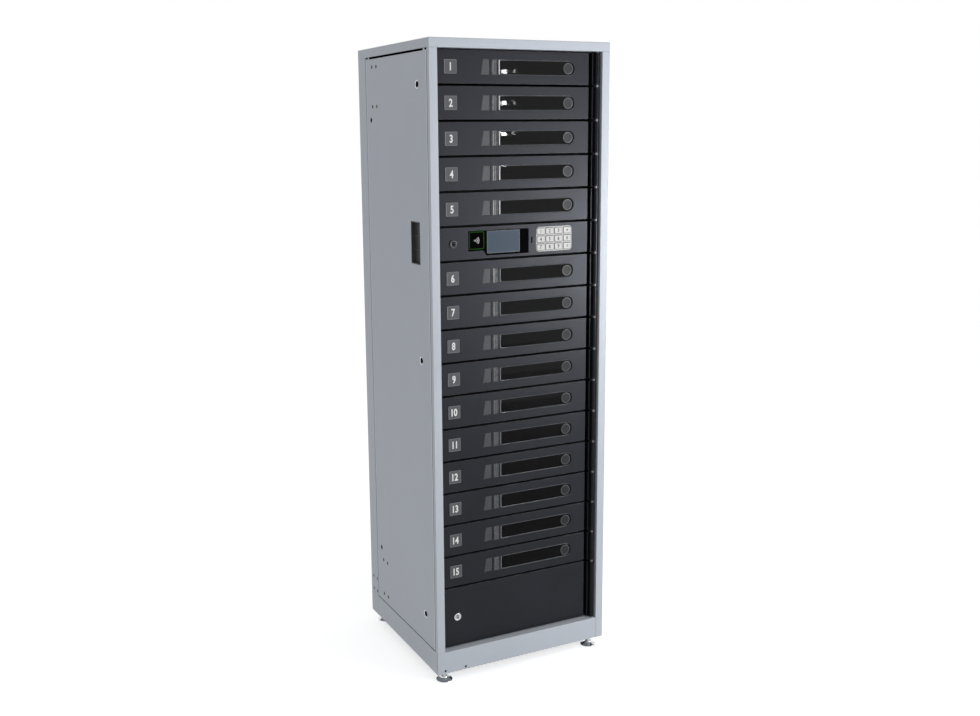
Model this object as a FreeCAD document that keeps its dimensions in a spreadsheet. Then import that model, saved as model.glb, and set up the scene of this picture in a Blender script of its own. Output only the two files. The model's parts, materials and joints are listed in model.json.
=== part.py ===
import FreeCAD, Part
import math
import os
import re
import Sketcher

doc = FreeCAD.newDocument("device_charging_locker")
dims = doc.addObject("Spreadsheet::Sheet", "dims")

# Driving sizes in millimetres. Rows follow the 19 inch rack standard, two units to a row.
sizes = {
    # whole cabinet
    "cabinet_width": 528,
    "cabinet_depth": 484,
    "row_pitch": 88.9,
    "service_row": 173,
    "plinth_height": 62,
    "cap_height": 24,
    "foot_clearance": 31,
    "frame_steel": 2,
    "sheet_steel": 1.5,
    "clearance": 0.3,
    "running_fit": 0.05,
    "overrun": 5,
    # posts
    "post_face": 23,
    "post_side": 14,
    "rebate": 12,
    "rebate_flange": 30,
    "strike_gap": 2,
    "strike_lip": 7,
    "rear_post_side": 54,
    "rear_post_back": 42,
    "rear_flange": 10,
    # plinth, floor and feet
    "plinth_flange": 50,
    "side_flange": 30,
    "floor_side_gap": 24,
    "floor_back_gap": 14,
    "floor_front_gap": 1,
    "anchor_radius": 6,
    "anchor_inset": 74,
    "anchor_setback": 77,
    "foot_gap": 8,
    "foot_setback": 27,
    "foot_radius": 23,
    "foot_rim": 4,
    "foot_neck_radius": 9,
    "foot_neck_height": 12,
    "stem_radius": 5,
    "stem_reach": 40,
    "nut_radius": 9.8,
    "nut_height": 6,
    # cap
    "cap_return": 30,
    "cap_bend": 2,
    # side and rear panels
    "panel_inset": 1,
    "panel_gap": 1.5,
    "vent_gap": 4,
    "panel_bend": 3,
    "rear_inset": 4,
    "vent_edge": 30.5,
    "vent_bridge": 25,
    "vent_height": 5,
    "vent_pitch": 13,
    "vent_margin": 60,
    # side panel locks and pulls
    "panel_lock_setback": 75,
    "panel_lock_rise": 87,
    "panel_lock_drop": 86.4,
    "lock_head_radius": 10.5,
    "lock_shank_radius": 6,
    "lock_slot_width": 2.4,
    "lock_slot_length": 9,
    "lock_slot_depth": 6,
    "cam_thickness": 2.5,
    "cam_width": 14,
    "cam_length": 43,
    "pull_setback": 73,
    "pull_width": 58,
    "pull_height": 111,
    "pull_depth": 14,
    "pull_wall": 2,
    "pull_rim": 4,
    "pull_rib": 2.2,
    "pull_rib_rise": 4,
    # bays behind the doors
    "bay_gap": 6,
    "liner_gap": 0.5,
    "wiring_depth": 94,
    "bay_steel": 1,
    "shelf_flange": 10,
    "outlet_width": 86,
    "outlet_height": 50,
    "outlet_depth": 8,
    "outlet_inset": 100.5,
    "outlet_recess": 5,
    "blade_width": 2.4,
    "blade_height": 9,
    "blade_pitch": 12.7,
    "port_width": 13.5,
    "port_height": 6,
    "port_offset": 26,
    "latch_width": 16,
    "latch_height": 40,
    "latch_depth": 58,
    "latch_gap": 3,
    "latch_slot": 7.5,
    "latch_slot_height": 18,
    "latch_slot_depth": 20,
    # power unit and inlet
    "power_width": 300,
    "power_depth": 220,
    "power_height": 92,
    "power_shift": 10,
    "power_ear": 18,
    "power_bend": 3,
    "power_wall": 2,
    "breaker_width": 36,
    "breaker_height": 45,
    "breaker_recess": 4,
    "breaker_inset": 30,
    "fin_width": 4,
    "fin_height": 60,
    "fin_pitch": 12,
    "inlet_width": 50,
    "inlet_height": 32,
    "inlet_flange": 2.5,
    "inlet_body_width": 40,
    "inlet_body_height": 24,
    "inlet_depth": 24,
    "inlet_mouth_width": 25,
    "inlet_mouth_height": 17,
    "inlet_mouth_depth": 16,
    "inlet_pin": 2,
    "inlet_pin_height": 4,
    "inlet_pin_pitch": 7,
    "inlet_pin_length": 13,
    "inlet_inset": 80.5,
    "inlet_rise": 70,
    # doors and hinge
    "door_gap": 2,
    "row_gap": 5.9,
    "door_recess": 20,
    "door_depth": 20,
    "hinge_gap": 9.5,
    "hinge_setback": 11,
    "hinge_reach": 20.5,
    "rod_radius": 4,
    "barrel_radius": 6.5,
    "hinge_steel": 2,
    "hinge_flange": 10,
    "hinge_web_reach": 10,
    "hinge_back_gap": 2,
    # door moulding, number tile and striker
    "pad_start": 129,
    "pad_slant": 6,
    "pad_width": 25,
    "bar_gap": 5.6,
    "bar_width": 15.5,
    "lens_gap": 3,
    "lens_end": 43.9,
    "lens_height": 38,
    "lens_plate": 2,
    "lens_margin": 5,
    "lens_sink": 0.4,
    "moulding_fit": 0.2,
    "tile_inset": 25,
    "tile_size": 35,
    "tile_depth": 1.2,
    "tile_corner": 2,
    "striker_steel": 3,
    "striker_height": 14,
    "striker_base": 18,
    "striker_reach": 14,
    # control panel
    "bezel_inset": 89,
    "bezel_gap": 23,
    "bezel_head": 10.5,
    "bezel_proud": 1,
    "reader_width": 45,
    "reader_foot": 20.5,
    "bezel_step": 7,
    "bezel_foot": 7.5,
    "controller_margin": 3,
    "controller_depth": 16,
    "sounder_gap": 10,
    "sounder_width": 3.5,
    "sounder_height": 16,
    "keypad_end": 50,
    "keypad_width": 110,
    "keypad_edge": 8.5,
    "keypad_depth": 10,
    "keypad_plate": 2,
    "keypad_wall": 0.8,
    "keypad_rim": 3,
    "keypad_board": 1.6,
    "key_border_across": 0.6,
    "key_border_up": 1.2,
    "key_space_across": 2.7,
    "key_space_up": 3.7,
    "key_rise": 1.7,
    "key_flange": 0.6,
    "key_flange_depth": 1.5,
    "key_fit": 0.25,
    "key_corner": 1.5,
    "plunger_size": 5,
    "plunger_length": 4,
    # door key locks
    "door_lock_inset": 45,
    "door_lock_ring": 10.5,
    "door_lock_rise": 2.5,
    "door_lock_tube": 8.5,
    "door_lock_plug": 6.5,
    "door_lock_tube_depth": 20,
}
counts = {
    "bay_count": 15,
    "bays_above": 5,
    "key_columns": 4,
    "key_rows": 3,
    "vent_rows": 9,
    "fin_count": 10,
}

for line, (alias, number) in enumerate({**sizes, **counts}.items(), 1):
    dims.set(f"A{line}", alias)
    dims.set(f"B{line}", str(number))
    dims.setAlias(f"B{line}", alias)
doc.recompute()

nodes = []


# Ties every name in an expression to its cell of the sheet.
def tied(text):
    return re.sub(r"[a-z]\w*", lambda word: "dims." + word.group(0), text)


def value(text):
    return float(dims.evalExpression(text))


def count(name):
    return int(dims.get(name))


def place(piece, across="0", deep="0", up="0"):
    for axis, text in zip("xyz", (across, deep, up)):
        piece.setExpression("Placement.Base." + axis, tied(text))


def node(piece, label):
    piece.Label = label
    nodes.append(piece)
    return piece


def new_body(name):
    return doc.addObject("PartDesign::Body", name)


# A sketch on one of the body's own planes, at a given place along the plane's axis.
def new_sketch(body, name, plane, start):
    sketch = body.newObject("Sketcher::SketchObject", name)
    base = [item for item in body.Origin.OriginFeatures if item.Role == plane + "_Plane"]
    sketch.AttachmentSupport = [(base[0], "")]
    sketch.MapMode = "FlatFace"
    turned = "-1 * " if plane == "XZ" else ""
    sketch.setExpression("AttachmentOffset.Base.z", tied(f"{turned}({start})"))
    return sketch


def fix_point(sketch, line, vertex, across, up):
    for kind, text in (("DistanceX", across), ("DistanceY", up)):
        held = sketch.addConstraint(Sketcher.Constraint(kind, -1, 1, line, vertex, value(text)))
        sketch.setExpression(f"Constraints[{held}]", tied(text))


def draw_loop(sketch, corners):
    first = sketch.GeometryCount
    points = [FreeCAD.Vector(value(across), value(up), 0) for across, up in corners]
    last = len(points) - 1
    for i, point in enumerate(points):
        sketch.addGeometry(Part.LineSegment(point, points[0 if i == last else i + 1]), False)
    for i in range(len(points)):
        following = first + (0 if i == last else i + 1)
        sketch.addConstraint(Sketcher.Constraint("Coincident", first + i, 2, following, 1))
    for i, (across, up) in enumerate(corners):
        fix_point(sketch, first + i, 1, across, up)


def draw_circle(sketch, centre, radius):
    middle = FreeCAD.Vector(value(centre[0]), value(centre[1]), 0)
    ring = Part.Circle(middle, FreeCAD.Vector(0, 0, 1), value(radius))
    line = sketch.addGeometry(ring, False)
    fix_point(sketch, line, 3, *centre)
    held = sketch.addConstraint(Sketcher.Constraint("Radius", line, value(radius)))
    sketch.setExpression(f"Constraints[{held}]", tied(radius))


# A bar whose right end, or whose lower end when it stands, is a half circle.
def draw_round_end(sketch, left, bottom, right, top):
    middle = f"(({bottom}) + ({top})) / 2"
    radius = f"(({top}) - ({bottom})) / 2"
    turn = f"({right}) - {radius}"
    corners = [(turn, top), (left, top), (left, bottom), (turn, bottom)]
    points = [FreeCAD.Vector(value(across), value(up), 0) for across, up in corners]
    for i in range(3):
        sketch.addGeometry(Part.LineSegment(points[i], points[i + 1]), False)
    centre = FreeCAD.Vector(value(turn), value(middle), 0)
    ring = Part.Circle(centre, FreeCAD.Vector(0, 0, 1), value(radius))
    sketch.addGeometry(Part.ArcOfCircle(ring, -math.pi / 2, math.pi / 2), False)
    for i in range(2):
        sketch.addConstraint(Sketcher.Constraint("Coincident", i, 2, i + 1, 1))
    sketch.addConstraint(Sketcher.Constraint("Coincident", 2, 2, 3, 1))
    sketch.addConstraint(Sketcher.Constraint("Coincident", 3, 2, 0, 1))
    for i in range(3):
        fix_point(sketch, i, 1, *corners[i])
    fix_point(sketch, 2, 2, *corners[3])
    held = sketch.addConstraint(Sketcher.Constraint("DistanceX", -1, 1, 3, 3, value(turn)))
    sketch.setExpression(f"Constraints[{held}]", tied(turn))


# Pads and pockets both run towards the plane's positive axis.
def raise_sketch(body, sketch, plane, length):
    pad = body.newObject("PartDesign::Pad", sketch.Name + "_pad")
    pad.Profile = sketch
    pad.Reversed = plane == "XZ"
    pad.setExpression("Length", tied(length))
    return pad


def sink_sketch(body, sketch, plane, length):
    pocket = body.newObject("PartDesign::Pocket", sketch.Name + "_pocket")
    pocket.Profile = sketch
    pocket.Reversed = plane != "XZ"
    pocket.setExpression("Length", tied(length))
    return pocket


def box_corners(left, bottom, right, top):
    return [(left, bottom), (right, bottom), (right, top), (left, top)]


def pad(body, name, plane, start, length, *loops):
    sketch = new_sketch(body, name, plane, start)
    for corners in loops:
        draw_loop(sketch, corners)
    return raise_sketch(body, sketch, plane, length)


def pocket(body, name, plane, start, length, *loops):
    sketch = new_sketch(body, name, plane, start)
    for corners in loops:
        draw_loop(sketch, corners)
    return sink_sketch(body, sketch, plane, length)


def boss(body, name, plane, start, length, centre, radius):
    sketch = new_sketch(body, name, plane, start)
    draw_circle(sketch, centre, radius)
    return raise_sketch(body, sketch, plane, length)


def drill(body, name, plane, start, length, centres, radius):
    sketch = new_sketch(body, name, plane, start)
    for centre in centres:
        draw_circle(sketch, centre, radius)
    return sink_sketch(body, sketch, plane, length)


# Repeats a feature along an axis of its sketch, at an even pitch.
def repeat(body, feature, axis, pitch, copies, backwards):
    pattern = body.newObject("PartDesign::LinearPattern", feature.Name + "_row")
    pattern.Originals = [feature]
    pattern.Direction = (feature.Profile[0], [axis])
    pattern.Reversed = backwards
    pattern.setExpression("Length", tied(f"({copies} - 1) * {pitch}"))
    pattern.setExpression("Occurrences", tied(copies))
    body.Tip = pattern
    return pattern


# A turned piece: the half profile is given as radius and height.
def turned(name, corners):
    body = new_body(name)
    sketch = new_sketch(body, name + "_profile", "XZ", "0")
    draw_loop(sketch, corners)
    turn = body.newObject("PartDesign::Revolution", name + "_turn")
    turn.Profile = sketch
    axis = [item for item in body.Origin.OriginFeatures if item.Role == "Z_Axis"]
    turn.ReferenceAxis = (axis[0], [""])
    turn.Angle = 360
    return body


def dress_edges(body, kind, name, chosen):
    doc.recompute()
    tip = body.Tip
    names = [f"Edge{i}" for i, edge in enumerate(tip.Shape.Edges, 1) if chosen(edge)]
    feature = body.newObject("PartDesign::" + kind, name)
    feature.Base = (tip, names)
    return feature


def round_edges(body, name, radius, chosen):
    dress_edges(body, "Fillet", name, chosen).setExpression("Radius", tied(radius))


def bevel_edges(body, name, size, chosen):
    dress_edges(body, "Chamfer", name, chosen).setExpression("Size", tied(size))


def along(edge, axis):
    ends = [vertex.Point for vertex in edge.Vertexes]
    if len(ends) < 2:
        return False
    step = ends[1] - ends[0]
    return abs(abs(getattr(step.normalize(), axis)) - 1) < 1e-6


def lies_at(edge, axis, text):
    return all(abs(getattr(v.Point, axis) - value(text)) < 1e-6 for v in edge.Vertexes)


def group(name, pieces):
    bundle = doc.addObject("Part::Compound", name)
    bundle.Links = pieces
    return bundle


def copy_at(name, pieces, across="0", deep="0", up="0"):
    bundle = group(name, pieces)
    place(bundle, across, deep, up)
    return bundle


def mirrored(name, source):
    twin = doc.addObject("Part::Mirroring", name)
    twin.Source = source
    twin.Normal = FreeCAD.Vector(1, 0, 0)
    return twin


# Places shared by the pieces
rows = count("bay_count") + 1
front = "(-cabinet_depth / 2)"
back = "(cabinet_depth / 2)"
left = "(-cabinet_width / 2)"
right = "(cabinet_width / 2)"
plinth_top = "(foot_clearance + plinth_height)"
rows_bottom = f"({plinth_top} + service_row)"
cap_bottom = f"({rows_bottom} + {rows} * row_pitch)"
hinge_x = f"({right} - post_face - hinge_gap)"
hinge_y = f"({front} + hinge_setback)"
door_left = f"({left} + post_face + door_gap)"
door_right = f"({hinge_x} - hinge_reach)"
door_face = f"({front} + door_recess)"
door_rear = f"({door_face} + door_depth)"
jamb_depth = "(door_recess + door_depth + strike_gap + frame_steel)"
lip_rear = f"({front} + {jamb_depth})"
latch_left = f"({left} + post_face + latch_gap)"
half_bay = f"({right} - post_face - latch_gap - latch_width - liner_gap - bay_steel)"
bay_front = f"({lip_rear} + bay_gap)"
bay_back = f"({back} - wiring_depth)"
floor_top = f"({plinth_top} + frame_steel)"
panel_outer = f"({left} + panel_inset)"
panel_inner = f"({left} + rebate - frame_steel)"
panel_front = f"({front} + post_side + panel_gap)"
panel_rear = f"({back} - rear_post_side - panel_gap)"
panel_low = f"({plinth_top} + panel_gap)"
panel_high = f"({cap_bottom} - vent_gap)"
lock_low = f"({plinth_top} + panel_lock_rise)"
lock_high = f"({cap_bottom} - panel_lock_drop)"
control_row = rows - 1 - count("bays_above")
pull_middle = f"({rows_bottom} + {control_row} * row_pitch + row_pitch / 2)"


# A front post folded from one sheet: face, side return with the rebate for the panel, and jamb.
def front_post(name, inward, low, lip):
    def at(inset, setback):
        edge = left if inward > 0 else right
        return (f"{edge} + {inward} * ({inset})", f"{front} + {setback}")

    corners = [at("0", "0"), at("post_face", "0")]
    if lip:
        corners += [at("post_face", f"{jamb_depth} - frame_steel"),
                    at("post_face + strike_lip", f"{jamb_depth} - frame_steel"),
                    at("post_face + strike_lip", jamb_depth)]
    else:
        corners += [at("post_face", jamb_depth)]
    corners += [at("post_face - frame_steel", jamb_depth),
                at("post_face - frame_steel", "frame_steel"),
                at("frame_steel", "frame_steel"),
                at("frame_steel", "post_side - frame_steel"),
                at("rebate", "post_side - frame_steel"),
                at("rebate", "post_side + rebate_flange"),
                at("rebate - frame_steel", "post_side + rebate_flange"),
                at("rebate - frame_steel", "post_side"),
                at("0", "post_side")]
    body = new_body(name)
    pad(body, name + "_section", "XY", low, f"{cap_bottom} - {low}", corners)
    return node(body, name)


front_post("front_post_left", 1, plinth_top, True)
front_post("front_post_right", -1, "foot_clearance", False)


def rear_post(name):
    def at(inset, forward):
        return (f"{left} + {inset}", f"{back} - ({forward})")

    corners = [at("0", "0"), at("0", "rear_post_side"),
               at("rebate - frame_steel", "rear_post_side"),
               at("rebate - frame_steel", "rear_post_side + rebate_flange"),
               at("rebate", "rear_post_side + rebate_flange"),
               at("rebate", "rear_post_side - frame_steel"),
               at("frame_steel", "rear_post_side - frame_steel"),
               at("frame_steel", "frame_steel"),
               at("rear_post_back - frame_steel", "frame_steel"),
               at("rear_post_back - frame_steel", "rebate"),
               at("rear_post_back + rear_flange", "rebate"),
               at("rear_post_back + rear_flange", "rebate - frame_steel"),
               at("rear_post_back", "rebate - frame_steel"),
               at("rear_post_back", "0")]
    body = new_body(name)
    pad(body, name + "_section", "XY", plinth_top, f"{cap_bottom} - {plinth_top}", corners)
    return body


rear_post_left = rear_post("rear_post_left")
node(group("rear_posts", [rear_post_left, mirrored("rear_post_right", rear_post_left)]), "rear_posts")


# Plinth: four channels. The front and rear ones carry the feet in their lower flanges.
def channel(web, reach, step):
    low = "foot_clearance"
    inner = f"{web} + {step} * frame_steel"
    tip = f"{web} + {step} * {reach}"
    return [(web, low), (tip, low), (tip, f"{low} + frame_steel"), (inner, f"{low} + frame_steel"),
            (inner, f"{plinth_top} - frame_steel"), (tip, f"{plinth_top} - frame_steel"),
            (tip, plinth_top), (web, plinth_top)]


def cross_rail(name, web, step, right_end, foot_row, corner_sides):
    body = new_body(name)
    start = f"{left} + frame_steel"
    section = channel(web, "plinth_flange", step)
    pad(body, name + "_section", "YZ", start, f"{right_end} - ({start})", section)
    inner = f"{web} + {step} * frame_steel"
    for side, (edge, inward) in corner_sides.items():
        corner = box_corners(edge, web, f"{edge} + {inward} * frame_steel", inner)
        pad(body, f"{name}_{side}", "XY", "foot_clearance", "plinth_height", corner)
    feet = [(f"-1 * {foot_x}", foot_row), (foot_x, foot_row)]
    drill(body, name + "_stems", "XY", "foot_clearance - overrun", "overrun + frame_steel + overrun",
          feet, "stem_radius + running_fit")
    return body


def side_rail(name, web, step, front_end):
    body = new_body(name)
    start = f"{front} + plinth_flange"
    pad(body, name + "_section", "XZ", start, f"{back} - plinth_flange - ({start})",
        channel(web, "side_flange", step))
    inner = f"{web} + {step} * frame_steel"
    for end, (low, high) in {"front": (front_end, start),
                             "rear": (f"{back} - plinth_flange", f"{back} - frame_steel")}.items():
        strip = box_corners(web, low, inner, high)
        pad(body, f"{name}_{end}", "XY", "foot_clearance", "plinth_height", strip)
    return body


foot_x = f"({right} - post_face - foot_gap)"
feet_front = f"{front} + foot_setback"
feet_rear = f"{back} - foot_setback"
left_corner = {"left": (left, 1)}
both_corners = {"left": (left, 1), "right": (right, -1)}
plinth = [
    cross_rail("plinth_front", front, 1, f"{right} - post_face - clearance", feet_front, left_corner),
    cross_rail("plinth_rear", back, -1, f"{right} - frame_steel", feet_rear, both_corners),
    side_rail("plinth_left", left, 1, f"{front} + frame_steel"),
    side_rail("plinth_right", right, -1, f"{front} + post_side + clearance"),
]
node(group("plinth_rails", plinth), "plinth_rails")

# Base floor with four holes for anchors into the building's floor
floor = new_body("base_floor")
floor_side = f"{right} - floor_side_gap"
pad(floor, "floor_plate", "XY", plinth_top, "frame_steel",
    box_corners(f"-1 * ({floor_side})", f"{lip_rear} + floor_front_gap",
                floor_side, f"{back} - floor_back_gap"))
anchors = [(f"{across} * ({right} - anchor_inset)", f"{deep} * ({back} - anchor_setback)")
           for across in (-1, 1) for deep in (-1, 1)]
drill(floor, "floor_anchors", "XY", f"{plinth_top} - overrun", "overrun + frame_steel + overrun",
      anchors, "anchor_radius")
node(floor, "base_floor")

# Levelling feet: a turned pad and stem, with a hexagonal lock nut under the plinth flange
foot_turn = turned("foot_turned", [
    ("0", "0"), ("foot_radius", "0"), ("foot_radius", "foot_rim"),
    ("foot_neck_radius", "foot_neck_height"), ("stem_radius", "foot_neck_height"),
    ("stem_radius", "foot_clearance + stem_reach"), ("0", "foot_clearance + stem_reach")])
nut_block = doc.addObject("Part::Prism", "foot_nut_block")
nut_block.Polygon = 6
nut_block.setExpression("Circumradius", tied("nut_radius"))
nut_block.setExpression("Height", tied("nut_height"))
place(nut_block, up="foot_clearance - nut_height")
nut_bore = doc.addObject("Part::Cylinder", "foot_nut_bore")
nut_bore.setExpression("Radius", tied("stem_radius + running_fit"))
nut_bore.setExpression("Height", tied("nut_height + 2 * overrun"))
place(nut_bore, up="foot_clearance - nut_height - overrun")
nut = doc.addObject("Part::Cut", "foot_nut")
nut.Base = nut_block
nut.Tool = nut_bore
for side, across in (("left", f"-1 * {foot_x}"), ("right", foot_x)):
    for end, deep in (("front", feet_front), ("rear", feet_rear)):
        label = f"foot_{end}_{side}"
        node(copy_at(label, [foot_turn, nut], across, deep), label)

# Top cap: a lid folded down on four sides, with a head return over the doors
cap = new_body("top_cap")
pad(cap, "cap_block", "XY", cap_bottom, "cap_height", box_corners(left, front, right, back))
pocket(cap, "cap_hollow", "XY", f"{cap_bottom} - overrun", "overrun + cap_height - sheet_steel",
       box_corners(f"{left} + sheet_steel", f"{front} + cap_return",
                   f"{right} - sheet_steel", f"{back} - sheet_steel"))
pocket(cap, "cap_head_hollow", "XY", f"{cap_bottom} + sheet_steel", "cap_height - 2 * sheet_steel",
       box_corners(f"{left} + sheet_steel", f"{front} + sheet_steel",
                   f"{right} - sheet_steel", f"{front} + cap_return + overrun"))
cap_top = f"{cap_bottom} + cap_height"
round_edges(cap, "cap_bends", "cap_bend", lambda edge: lies_at(edge, "z", cap_top))
node(cap, "top_cap")

# Left side panel: a shallow tray with three lock holes and the cut-out for the pull
panel = new_body("left_side_panel")
pad(panel, "panel_tray", "YZ", panel_outer, f"{panel_inner} - {panel_outer}",
    box_corners(panel_front, panel_low, panel_rear, panel_high))
pocket(panel, "panel_hollow", "YZ", f"{panel_outer} + sheet_steel", "rebate + overrun",
       box_corners(f"{panel_front} + sheet_steel", f"{panel_low} + sheet_steel",
                   f"{panel_rear} - sheet_steel", f"{panel_high} - sheet_steel"))
lock_y = f"{front} + panel_lock_setback"
lock_heights = {"low": lock_low, "middle": f"({lock_low} + {lock_high}) / 2", "high": lock_high}
drill(panel, "panel_lock_holes", "YZ", f"{panel_outer} - overrun", "overrun + sheet_steel + overrun",
      [(lock_y, up) for up in lock_heights.values()], "lock_shank_radius + running_fit")
pull_front = f"({front} + pull_setback)"


def pull_corners(grow):
    return box_corners(f"{pull_front} - ({grow})", f"{pull_middle} - pull_height / 2 - ({grow})",
                       f"{pull_front} + pull_width + {grow}",
                       f"{pull_middle} + pull_height / 2 + {grow}")


pocket(panel, "panel_pull_hole", "YZ", f"{panel_outer} - overrun", "overrun + sheet_steel + overrun",
       pull_corners("clearance"))
round_edges(panel, "panel_bends", "panel_bend",
            lambda edge: lies_at(edge, "x", panel_outer) and edge.Length > value("2 * pull_height"))
node(panel, "left_side_panel")
node(mirrored("right_side_panel", panel), "right_side_panel")

# Recessed pull: a cup with a rim behind the sheet and two ribs across its bottom
pull = new_body("pull_left")
pad(pull, "pull_block", "YZ", panel_outer, "pull_depth", pull_corners("0"))
pad(pull, "pull_rim_plate", "YZ", f"{panel_outer} + sheet_steel", "pull_wall", pull_corners("pull_rim"))
pocket(pull, "pull_cup", "YZ", f"{panel_outer} - overrun", "overrun + pull_depth - pull_wall",
       pull_corners("-1 * pull_wall"))
rib_loops = []
for step in (-1, 1):
    rib_z = f"{pull_middle} + {step} * pull_height / 6"
    rib_loops.append(box_corners(f"{pull_front} + pull_wall", f"{rib_z} - pull_rib / 2",
                                 f"{pull_front} + pull_width - pull_wall", f"{rib_z} + pull_rib / 2"))
pad(pull, "pull_ribs", "YZ", f"{panel_outer} + pull_depth - pull_wall - pull_rib_rise",
    "pull_rib_rise + pull_wall / 2", *rib_loops)
node(group("panel_pulls", [pull, mirrored("pull_right", pull)]), "panel_pulls")


# A key lock's turning piece, its face pointing up and its cam pointing back along its own plane
def key_plug(name, profile, face, cam_start):
    body = turned(name, profile)
    half = "lock_slot_width / 2"
    pocket(body, name + "_slot", "XY", f"{face} - lock_slot_depth", "lock_slot_depth + overrun",
           box_corners(f"-1 * {half}", "-lock_slot_length / 2", half, "lock_slot_length / 2"))
    sketch = new_sketch(body, name + "_cam", "XY", cam_start)
    draw_round_end(sketch, "-lock_shank_radius", "-cam_width / 2", "cam_length", "cam_width / 2")
    raise_sketch(body, sketch, "XY", "cam_thickness")
    return body


lock_inner = "-1 * (rebate + clearance - panel_inset)"
panel_lock = key_plug("panel_lock", [
    ("0", "panel_inset"), ("lock_head_radius", "panel_inset"), ("lock_head_radius", "0"),
    ("lock_shank_radius", "0"), ("lock_shank_radius", lock_inner), ("0", lock_inner)],
    "panel_inset", f"{lock_inner} - cam_thickness")
facing_left = FreeCAD.Rotation(FreeCAD.Vector(0, 1, 0), -90)
cam_forward = FreeCAD.Rotation(FreeCAD.Vector(0, 0, 1), -90)
panel_lock.Placement = FreeCAD.Placement(FreeCAD.Vector(0, 0, 0), facing_left.multiply(cam_forward))
place(panel_lock, panel_outer, lock_y)
panel_lock_twin = mirrored("panel_lock_twin", panel_lock)
for side, source in (("left", panel_lock), ("right", panel_lock_twin)):
    for height, up in lock_heights.items():
        label = f"panel_lock_{side}_{height}"
        node(copy_at(label, [source], up=up), label)

# Rear panel: a tray in the rear rebates with two fields of vents and the inlet's cut-out
rear = new_body("rear_panel")
rear_outer = f"({back} - rear_inset)"
rear_inner = f"({back} - rebate + frame_steel)"
rear_half = f"({right} - rear_post_back - panel_gap)"
pad(rear, "rear_tray", "XZ", rear_inner, f"{rear_outer} - {rear_inner}",
    box_corners(f"-1 * {rear_half}", panel_low, rear_half, panel_high))
pocket(rear, "rear_hollow", "XZ", f"{rear_inner} - overrun",
       f"{rear_outer} - sheet_steel - {rear_inner} + overrun",
       box_corners(f"sheet_steel - {rear_half}", f"{panel_low} + sheet_steel",
                   f"{rear_half} - sheet_steel", f"{panel_high} - sheet_steel"))
inlet_z = f"({panel_low} + inlet_rise)"


def inlet_corners(width, height, shift="0"):
    middle = f"{rear_half} - inlet_inset + {shift}"
    return box_corners(f"{middle} - {width} / 2", f"{inlet_z} - {height} / 2",
                       f"{middle} + {width} / 2", f"{inlet_z} + {height} / 2")


pocket(rear, "rear_inlet_hole", "XZ", f"{rear_outer} - sheet_steel - overrun",
       "overrun + sheet_steel + overrun",
       inlet_corners("(inlet_body_width + 2 * clearance)", "(inlet_body_height + 2 * clearance)"))
vent_length = f"((2 * ({rear_half} - vent_edge) - 2 * vent_bridge) / 3)"
vent_fields = {"high": f"{panel_high} - vent_margin",
               "low": f"{panel_low} + 3 * vent_margin + vent_rows * vent_pitch"}
for field, top in vent_fields.items():
    middles = [f"{column} * ({vent_length} + vent_bridge)" for column in (-1, 0, 1)]
    slots = [box_corners(f"{middle} - {vent_length} / 2", f"{top} - vent_height",
                         f"{middle} + {vent_length} / 2", top) for middle in middles]
    first_row = pocket(rear, f"rear_vents_{field}", "XZ", f"{rear_outer} - sheet_steel - overrun",
                       "overrun + sheet_steel + overrun", *slots)
    repeat(rear, first_row, "V_Axis", "vent_pitch", "vent_rows", True)
node(rear, "rear_panel")

# Mains inlet: flange, body, mouth and three pins
inlet = new_body("power_inlet")
inlet_face = f"({rear_outer} + inlet_flange)"
pad(inlet, "inlet_body", "XZ", f"{rear_outer} - inlet_depth", "inlet_depth",
    inlet_corners("inlet_body_width", "inlet_body_height"))
pad(inlet, "inlet_plate", "XZ", rear_outer, "inlet_flange", inlet_corners("inlet_width", "inlet_height"))
pocket(inlet, "inlet_mouth", "XZ", f"{inlet_face} - inlet_mouth_depth", "inlet_mouth_depth + overrun",
       inlet_corners("inlet_mouth_width", "inlet_mouth_height"))
pad(inlet, "inlet_pins", "XZ", f"{inlet_face} - inlet_mouth_depth - inlet_flange",
    "inlet_flange + inlet_pin_length",
    *[inlet_corners("inlet_pin", "inlet_pin_height", f"{step} * inlet_pin_pitch") for step in (-1, 0, 1)])
node(inlet, "power_inlet")

# Bay shelves: trays turned downwards, one under each row of the rack
shelf = new_body("shelf")
pad(shelf, "shelf_tray", "XY", "-bay_steel - shelf_flange", "bay_steel + shelf_flange",
    box_corners(f"-1 * {half_bay}", bay_front, half_bay, bay_back))
pocket(shelf, "shelf_hollow", "XY", "-bay_steel - shelf_flange - overrun", "shelf_flange + overrun",
       box_corners(f"bay_steel - {half_bay}", f"{bay_front} + bay_steel",
                   f"{half_bay} - bay_steel", f"{bay_back} - bay_steel"))


def row_floor(row):
    return f"{rows_bottom} + {rows - 1 - row} * row_pitch"


shelves = [copy_at(f"shelf_{row + 1}", [shelf], up=row_floor(row)) for row in range(rows)]
node(group("bay_shelves", shelves), "bay_shelves")


# Bay walls: two sides and the back, standing on the base floor
def wall(name, corner_a, corner_b):
    body = new_body(name)
    pad(body, name + "_sheet", "XY", floor_top, f"{cap_bottom} - {floor_top}",
        box_corners(*corner_a, *corner_b))
    return body


outer_bay = f"({half_bay} + bay_steel)"
walls = [
    wall("bay_wall_left", (f"-1 * {outer_bay}", bay_front), (f"-1 * {half_bay}", f"{bay_back} + bay_steel")),
    wall("bay_wall_right", (half_bay, bay_front), (outer_bay, f"{bay_back} + bay_steel")),
    wall("bay_wall_back", (f"-1 * {half_bay}", bay_back), (half_bay, f"{bay_back} + bay_steel")),
]
node(group("bay_walls", walls), "bay_walls")

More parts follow.
